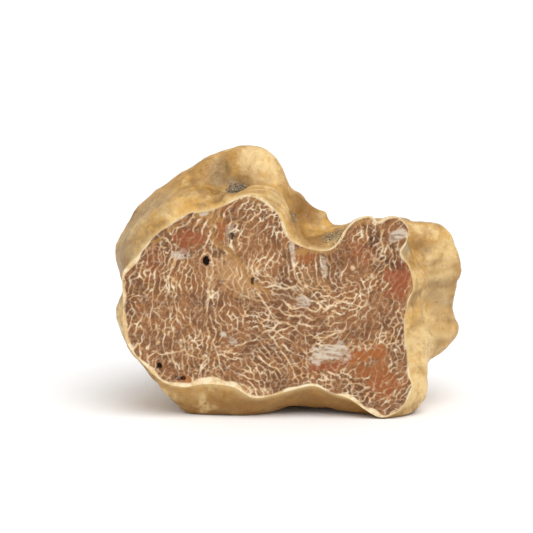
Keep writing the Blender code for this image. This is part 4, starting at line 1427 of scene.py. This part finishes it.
def add_key_light(name, towards, strength, angle):
    """A far soft light that shines from the given direction."""
    light = bpy.data.lights.new(name, "SUN")
    light.energy = strength
    light.angle = angle
    lamp = bpy.data.objects.new(name, light)
    bpy.context.scene.collection.objects.link(lamp)
    lamp.rotation_euler = Vector(towards).to_track_quat("Z", "Y").to_euler()
    lamp.location = Vector(towards).normalized()


def studio_world(sky):
    """White all round for the camera, and light of the given strength for everything else."""
    world = bpy.data.worlds.new("Studio")
    world.use_nodes = True
    tree = world.node_tree
    background = tree.nodes["Background"]
    background.inputs["Color"].default_value = (1.0, 1.0, 1.0, 1.0)
    seen = tree.nodes.new("ShaderNodeLightPath").outputs["Is Camera Ray"]
    put(tree, background.inputs["Strength"], ramp(tree, seen, 0.0, 1.0, sky, 1.0))
    return world


class TRUFFLE_OT_stage(bpy.types.Operator):
    """Build the floor, the light and the camera."""
    bl_idname = "truffle.build_stage"
    bl_label = "Build stage"

    def execute(self, context):
        scene = context.scene
        s = scene.truffle_stage
        half = s.floor_size / 2.0
        mesh = bpy.data.meshes.new("studio_floor")
        corners = [(-half, -half, 0.0), (half, -half, 0.0), (half, half, 0.0), (-half, half, 0.0)]
        mesh.from_pydata(corners, [], [(0, 1, 2, 3)])
        mesh.materials.append(floor_material(s))
        floor = bpy.data.objects.new("studio_floor", mesh)
        scene.collection.objects.link(floor)
        floor.location.z = -FLOOR_DROP
        scene.world = studio_world(s.sky)
        add_key_light("Key light", KEY_FROM, s.key, s.key_angle)
        scene.view_settings.view_transform = "Standard"
        scene.view_settings.look = "None"
        data = bpy.data.cameras.new("Camera")
        data.lens = s.lens
        data.sensor_width = SENSOR
        data.clip_start = NEAR
        camera = bpy.data.objects.new("Camera", data)
        scene.collection.objects.link(camera)
        target = Vector((AIM_X, CUT_Y * MM, AIM_Z))
        away = Vector((0.0, -math.cos(s.elevation), math.sin(s.elevation)))
        camera.location = target + away * s.distance
        camera.rotation_euler = (-away).to_track_quat("-Z", "Y").to_euler()
        scene.camera = camera
        return {"FINISHED"}


class TRUFFLE_PT_panel(bpy.types.Panel):
    """Builders and settings of the cut truffle."""
    bl_label = "Cut truffle"
    bl_idname = "TRUFFLE_PT_panel"
    bl_space_type = "VIEW_3D"
    bl_region_type = "UI"
    bl_category = "Truffle"

    def draw(self, context):
        for operator, settings in PANEL_ROWS:
            box = self.layout.box()
            box.operator(operator.bl_idname)
            group = getattr(context.scene, settings)
            for name in group.bl_rna.properties.keys():
                if name not in ("name", "rna_type"):
                    box.prop(group, name)


SETTINGS = {
    "truffle_skin": SkinSettings,
    "truffle_flesh": FleshSettings,
    "truffle_soil": SoilSettings,
    "truffle_stage": StageSettings,
}
PANEL_ROWS = [
    (TRUFFLE_OT_skin, "truffle_skin"),
    (TRUFFLE_OT_flesh, "truffle_flesh"),
    (TRUFFLE_OT_soil, "truffle_soil"),
    (TRUFFLE_OT_stage, "truffle_stage"),
]
CLASSES = [*SETTINGS.values(), *[operator for operator, _ in PANEL_ROWS], TRUFFLE_PT_panel]


def register():
    """Add the classes and the scene's settings."""
    for cls in CLASSES:
        bpy.utils.register_class(cls)
    for name, cls in SETTINGS.items():
        setattr(bpy.types.Scene, name, bpy.props.PointerProperty(type=cls))


def unregister():
    """Take the settings and the classes away again."""
    for name in SETTINGS:
        delattr(bpy.types.Scene, name)
    for cls in reversed(CLASSES):
        bpy.utils.unregister_class(cls)


def main():
    """Build every piece and the stage."""
    register()
    bpy.ops.truffle.build_skin()
    bpy.ops.truffle.build_flesh()
    bpy.ops.truffle.build_soil()
    bpy.ops.truffle.build_stage()
    bpy.context.view_layer.update()


if __name__ == "__main__":
    main()
